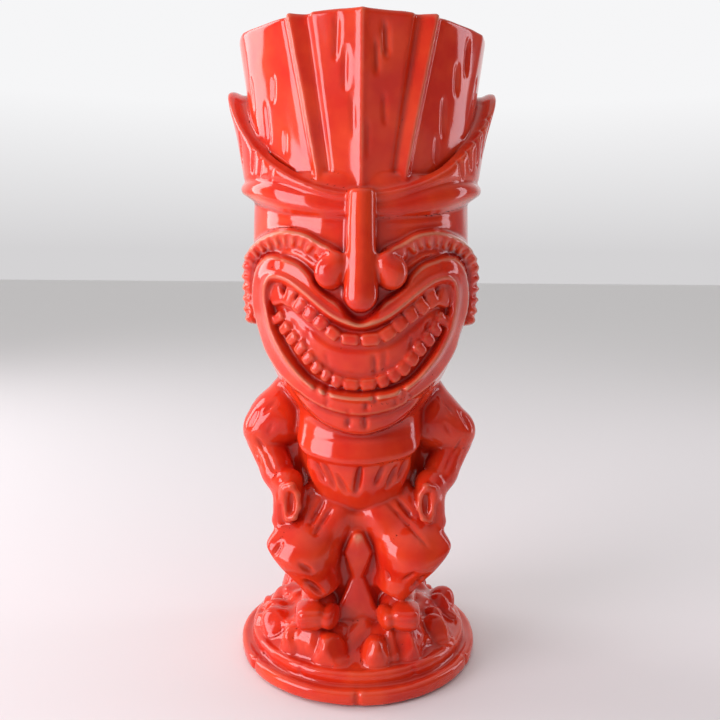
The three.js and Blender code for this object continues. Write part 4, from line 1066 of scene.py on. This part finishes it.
first = corner(tag, CORNERS[0])
active = np.zeros(first.shape, bool)
for c in CORNERS[1:]:
    active |= corner(tag, c) != first
cells = np.argwhere(active).astype(np.int32)
number = np.full(first.shape, -1, np.int32)
number[active] = np.arange(len(cells))
skin, joint = (np.zeros((len(cells), 4), F32) for _ in range(2))  # sums of x, y, z and 1
for axis in range(3):
    others = [i for i in range(3) if i != axis]
    for a in (0, 1):
        for b in (0, 1):
            offset = np.zeros(3, np.int32)
            offset[others[0]], offset[others[1]] = a, b
            end = offset.copy()
            end[axis] = 1
            p, q = cells + offset, cells + end
            v0, v1 = phi[tuple(p.T)], phi[tuple(q.T)]
            t0, t1 = tag[tuple(p.T)], tag[tuple(q.T)]
            crossing = (t0 > 0) != (t1 > 0)
            t = np.where(crossing, v0 / np.where(v0 == v1, 1, v0 - v1), 0.5)
            spot = np.repeat(F32([[*offset, 1]]), len(cells), 0)
            spot[:, axis] = np.clip(t, 0.02, 0.98)
            skin += spot * crossing[:, None]
            joint += spot * ((t0 != t1) & ~crossing)[:, None]
on_skin = skin[:, 3] > 0
local = np.where(on_skin[:, None], *(part[:, :3] / np.maximum(part[:, 3:], 1) for part in (skin, joint)))
place = cells + local
normal = np.zeros_like(place)
for axis, step in enumerate(0.8 * np.eye(3, dtype=F32)):
    normal[:, axis] = sample(soft, place + step) - sample(soft, place - step)
normal /= np.maximum(np.linalg.norm(normal, axis=1), 1e-9)[:, None]
ridge_value = (sample(fine, place) - sample(phi, place)) / PITCH
# how deep in a broad hollow each point lies: the glaze's pooling there, and painted shade
pooling_and_shade_value = sample(broad, place)
points = ((clay.lo + place * clay.pitch) * MM).astype(F32)
# the foot's underside is flat on the table
points[:, 2] = np.where(points[:, 2] < 0.3 * MM, np.maximum(points[:, 2], 0), points[:, 2])

found = []
for axis in range(3):
    a, b = [(1, 2), (2, 0), (0, 1)][axis]
    lo_side = [slice(1, -1)] * 3
    hi_side = [slice(1, -1)] * 3
    lo_side[axis], hi_side[axis] = slice(0, -1), slice(1, None)
    one, two = tag[tuple(lo_side)], tag[tuple(hi_side)]
    at = np.argwhere(one != two)
    base = at + 1
    base[:, axis] -= 1
    ring = []
    for da, db in ((-1, -1), (0, -1), (0, 0), (-1, 0)):
        c = base.copy()
        c[:, a] += da
        c[:, b] += db
        ring.append(number[tuple(c.T)])
    found.append((np.stack(ring, 1), one[tuple(at.T)], two[tuple(at.T)]))
quads, low_tag, high_tag = (np.concatenate(part) for part in zip(*found))


def place_object(name, data):
    o = bpy.data.objects.new(name, data)
    bpy.context.scene.collection.objects.link(o)
    return o


def make_piece(name, number_of, finish):
    """The closed mesh of one piece."""
    faces = np.concatenate([quads[low_tag == number_of], quads[high_tag == number_of][:, ::-1]])
    if not len(faces):
        return None
    used, faces = np.unique(faces, return_inverse=True)
    faces = faces.reshape(-1, 4).astype(np.int32)
    mesh = bpy.data.meshes.new(name)
    mesh.from_pydata(points[used], [], faces, shade_flat=False)
    for label, values in (("glaze_edge", ridge_value), ("glaze_pooling_and_shade", pooling_and_shade_value)):
        layer = mesh.attributes.new(label, "FLOAT", "POINT")
        layer.data.foreach_set("value", values[used])
    own_normals = np.zeros(len(used) * 3, F32)
    mesh.vertices.foreach_get("normal", own_normals)
    normals = np.where(on_skin[used][:, None], normal[used], own_normals.reshape(-1, 3))
    mesh.normals_split_custom_set_from_vertices(normals.astype(F32))
    mesh.materials.append(finish)
    return place_object(name, mesh)


# ---- materials
def feed(tree, n, inputs):
    """Sets a node's inputs: from a socket with a link, otherwise to a constant."""
    for key, value in inputs.items():
        if isinstance(value, bpy.types.NodeSocket):
            tree.links.new(value, n.inputs[key])
        else:
            n.inputs[key].default_value = (*value, 1) if isinstance(value, tuple) else value


def node(tree, kind, inputs, **settings):
    n = tree.nodes.new("ShaderNode" + kind)
    for key, value in settings.items():
        setattr(n, key, value)
    feed(tree, n, inputs)
    return n


def ramp(tree, source, stops):
    n = node(tree, "ValToRGB", {0: source})
    n.color_ramp.interpolation = "EASE"
    while len(n.color_ramp.elements) < len(stops):
        n.color_ramp.elements.new(0.5)
    for element, (at, colour) in zip(n.color_ramp.elements, stops):
        element.position = at
        element.color = (*colour, 1)
    return n.outputs[0]


def spread(tree, source, low, high):
    return node(tree, "MapRange", {"Value": source, "From Min": low, "From Max": high}).outputs["Result"]


def mix(tree, factor, a, b, mode="MIX"):
    return node(tree, "Mix", {0: factor, 6: a, 7: b}, data_type="RGBA", blend_type=mode).outputs[2]


def material(name, settings):
    """A new material, its node tree and its shader."""
    m = bpy.data.materials.new(name)
    m.use_nodes = True
    shader = m.node_tree.nodes["Principled BSDF"]
    feed(m.node_tree, shader, settings)
    return m, m.node_tree, shader


def glaze_material():
    """Glossy orange-red glaze: pale where it runs thin on an edge, and darker in hollows and between parts,
    partly glaze pooling and partly painted shade.
    """
    m, t, shader = material("glaze", {"Roughness": 0.1, "Specular IOR Level": 0.42, "IOR": 1.48,
        "Coat Weight": 0.15, "Coat Roughness": 0.03})
    edge, pooling_and_shade = (node(t, "Attribute", {}, attribute_name=name).outputs["Fac"]
        for name in ("glaze_edge", "glaze_pooling_and_shade"))
    where = node(t, "TexCoord", {}).outputs["Object"]
    cloud = node(t, "TexNoise", {"Scale": 90, "Detail": 3, "Vector": where}).outputs["Fac"]
    speck = node(t, "TexNoise", {"Scale": 900, "Detail": 2, "Vector": where}).outputs["Fac"]
    body = mix(t, spread(t, cloud, 0.35, 0.65), (0.6, 0.02, 0.006), (0.7, 0.048, 0.011))
    # painted shade: a deeper red in broad hollows and between parts, also standing for the glaze's pooling
    # there
    body = mix(t, spread(t, pooling_and_shade, 0, -1), body, (0.32, 0.007, 0.004))
    thin = spread(t, edge, 0.22, 0.95)
    body = mix(t, thin, body, (0.6, 0.19, 0.1))
    grit = node(t, "Math", {0: spread(t, speck, 0.6, 0.72), 1: thin}, operation="MULTIPLY").outputs[0]
    body = mix(t, grit, body, (0.52, 0.11, 0.06))
    ripple = node(t, "Bump", {"Strength": 0.1, "Distance": 0.0006, "Height": cloud}).outputs["Normal"]
    feed(t, shader, {"Base Color": body, "Normal": ripple})
    return m


def clay_material():
    """The wiped foot: bare fired clay."""
    m, t, shader = material("bare_clay", {"Roughness": 0.85})
    where = node(t, "TexCoord", {}).outputs["Object"]
    speck = node(t, "TexNoise", {"Scale": 700, "Detail": 6, "Vector": where}).outputs["Fac"]
    rough = node(t, "Bump", {"Strength": 0.4, "Distance": 0.0003, "Height": speck}).outputs["Normal"]
    body = mix(t, speck, (0.7, 0.6, 0.48), (0.58, 0.46, 0.35))
    feed(t, shader, {"Base Color": body, "Normal": rough})
    return m


GLAZE, CLAY = glaze_material(), clay_material()
for number_of, name in enumerate(clay.names):
    if not name:
        continue
    bare = name == "foot"
    piece = make_piece(f"glazed_{name}" if not bare else "bare_foot", number_of, CLAY if bare else GLAZE)
    if piece is None:
        continue
    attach(piece, "root")
    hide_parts(name)


# ---- stage, light and camera
def emitter(name, at, toward, size, power, colour):
    light = bpy.data.lights.new(name, "AREA")
    light.shape = "RECTANGLE"
    light.size, light.size_y = size
    light.energy = power
    light.color = colour
    o = place_object(name, light)
    o.location = at
    o.rotation_euler = (Vector(toward) - Vector(at)).to_track_quat("-Z", "Y").to_euler()


floor_mesh = bpy.data.meshes.new("floor")
w = 3
floor_mesh.from_pydata([(-w, -w, 0), (w, -w, 0), (w, w, 0), (-w, w, 0)], [], [(0, 1, 2, 3)])
floor_mesh.materials.append(material("floor", {"Base Color": (0.76, 0.76, 0.76), "Roughness": 0.7})[0])
floor = place_object("floor", floor_mesh)

world = bpy.data.worlds.new("world")
bpy.context.scene.world = world
bpy.context.scene.view_settings.view_transform = "Standard"
world.use_nodes = True
t = world.node_tree
split = node(t, "SeparateXYZ", {0: node(t, "TexCoord", {}).outputs["Generated"]}).outputs
pale = ramp(t, spread(t, split["Y"], -0.7, 0.75), [(0, (0.24, 0.23, 0.24)), (0.55, (0.36, 0.34, 0.36)),
    (1, (0.92, 0.92, 0.93))])
pale = mix(t, spread(t, split["Z"], 0, 0.18), (0.66, 0.65, 0.66), pale)
overhead = mix(t, spread(t, split["Z"], 0.3, 0.9), pale, (0.8, 0.78, 0.77))
shade = ramp(t, spread(t, split["X"], 0.4, 0.85), [(0, (1, 1, 1)), (1, (0.36, 0.33, 0.34))])
feed(t, t.nodes["Background"], {"Color": mix(t, 1, overhead, shade, "MULTIPLY"), "Strength": 1})

middle = (0, 0, 0.5 * RIM * MM)
emitter("window_left", (-0.64, -0.38, 0.24), middle, (0.44, 0.5), 5.4, (1, 0.82, 0.9))
emitter("window_beside", (-0.62, 0.2, 0.34), middle, (0.26, 0.6), 2.4, (1, 0.94, 0.98))
emitter("window_right", (0.58, 0.1, 0.26), (0, 0, 0.13), (0.14, 0.5), 0.8, (0.95, 0.86, 0.95))

camera = bpy.data.cameras.new("camera")
camera.sensor_width = 36
camera.lens = 37.55
view = place_object("camera", camera)
bpy.context.scene.camera = view
view.location = (0, -0.25, 0.1362)
pitch, roll = radians(90 - 8.3), radians(0.45)
view.rotation_euler = (Matrix.Rotation(pitch, 3, "X") @ Matrix.Rotation(roll, 3, "Z")).to_euler()
camera.clip_start = 0.01
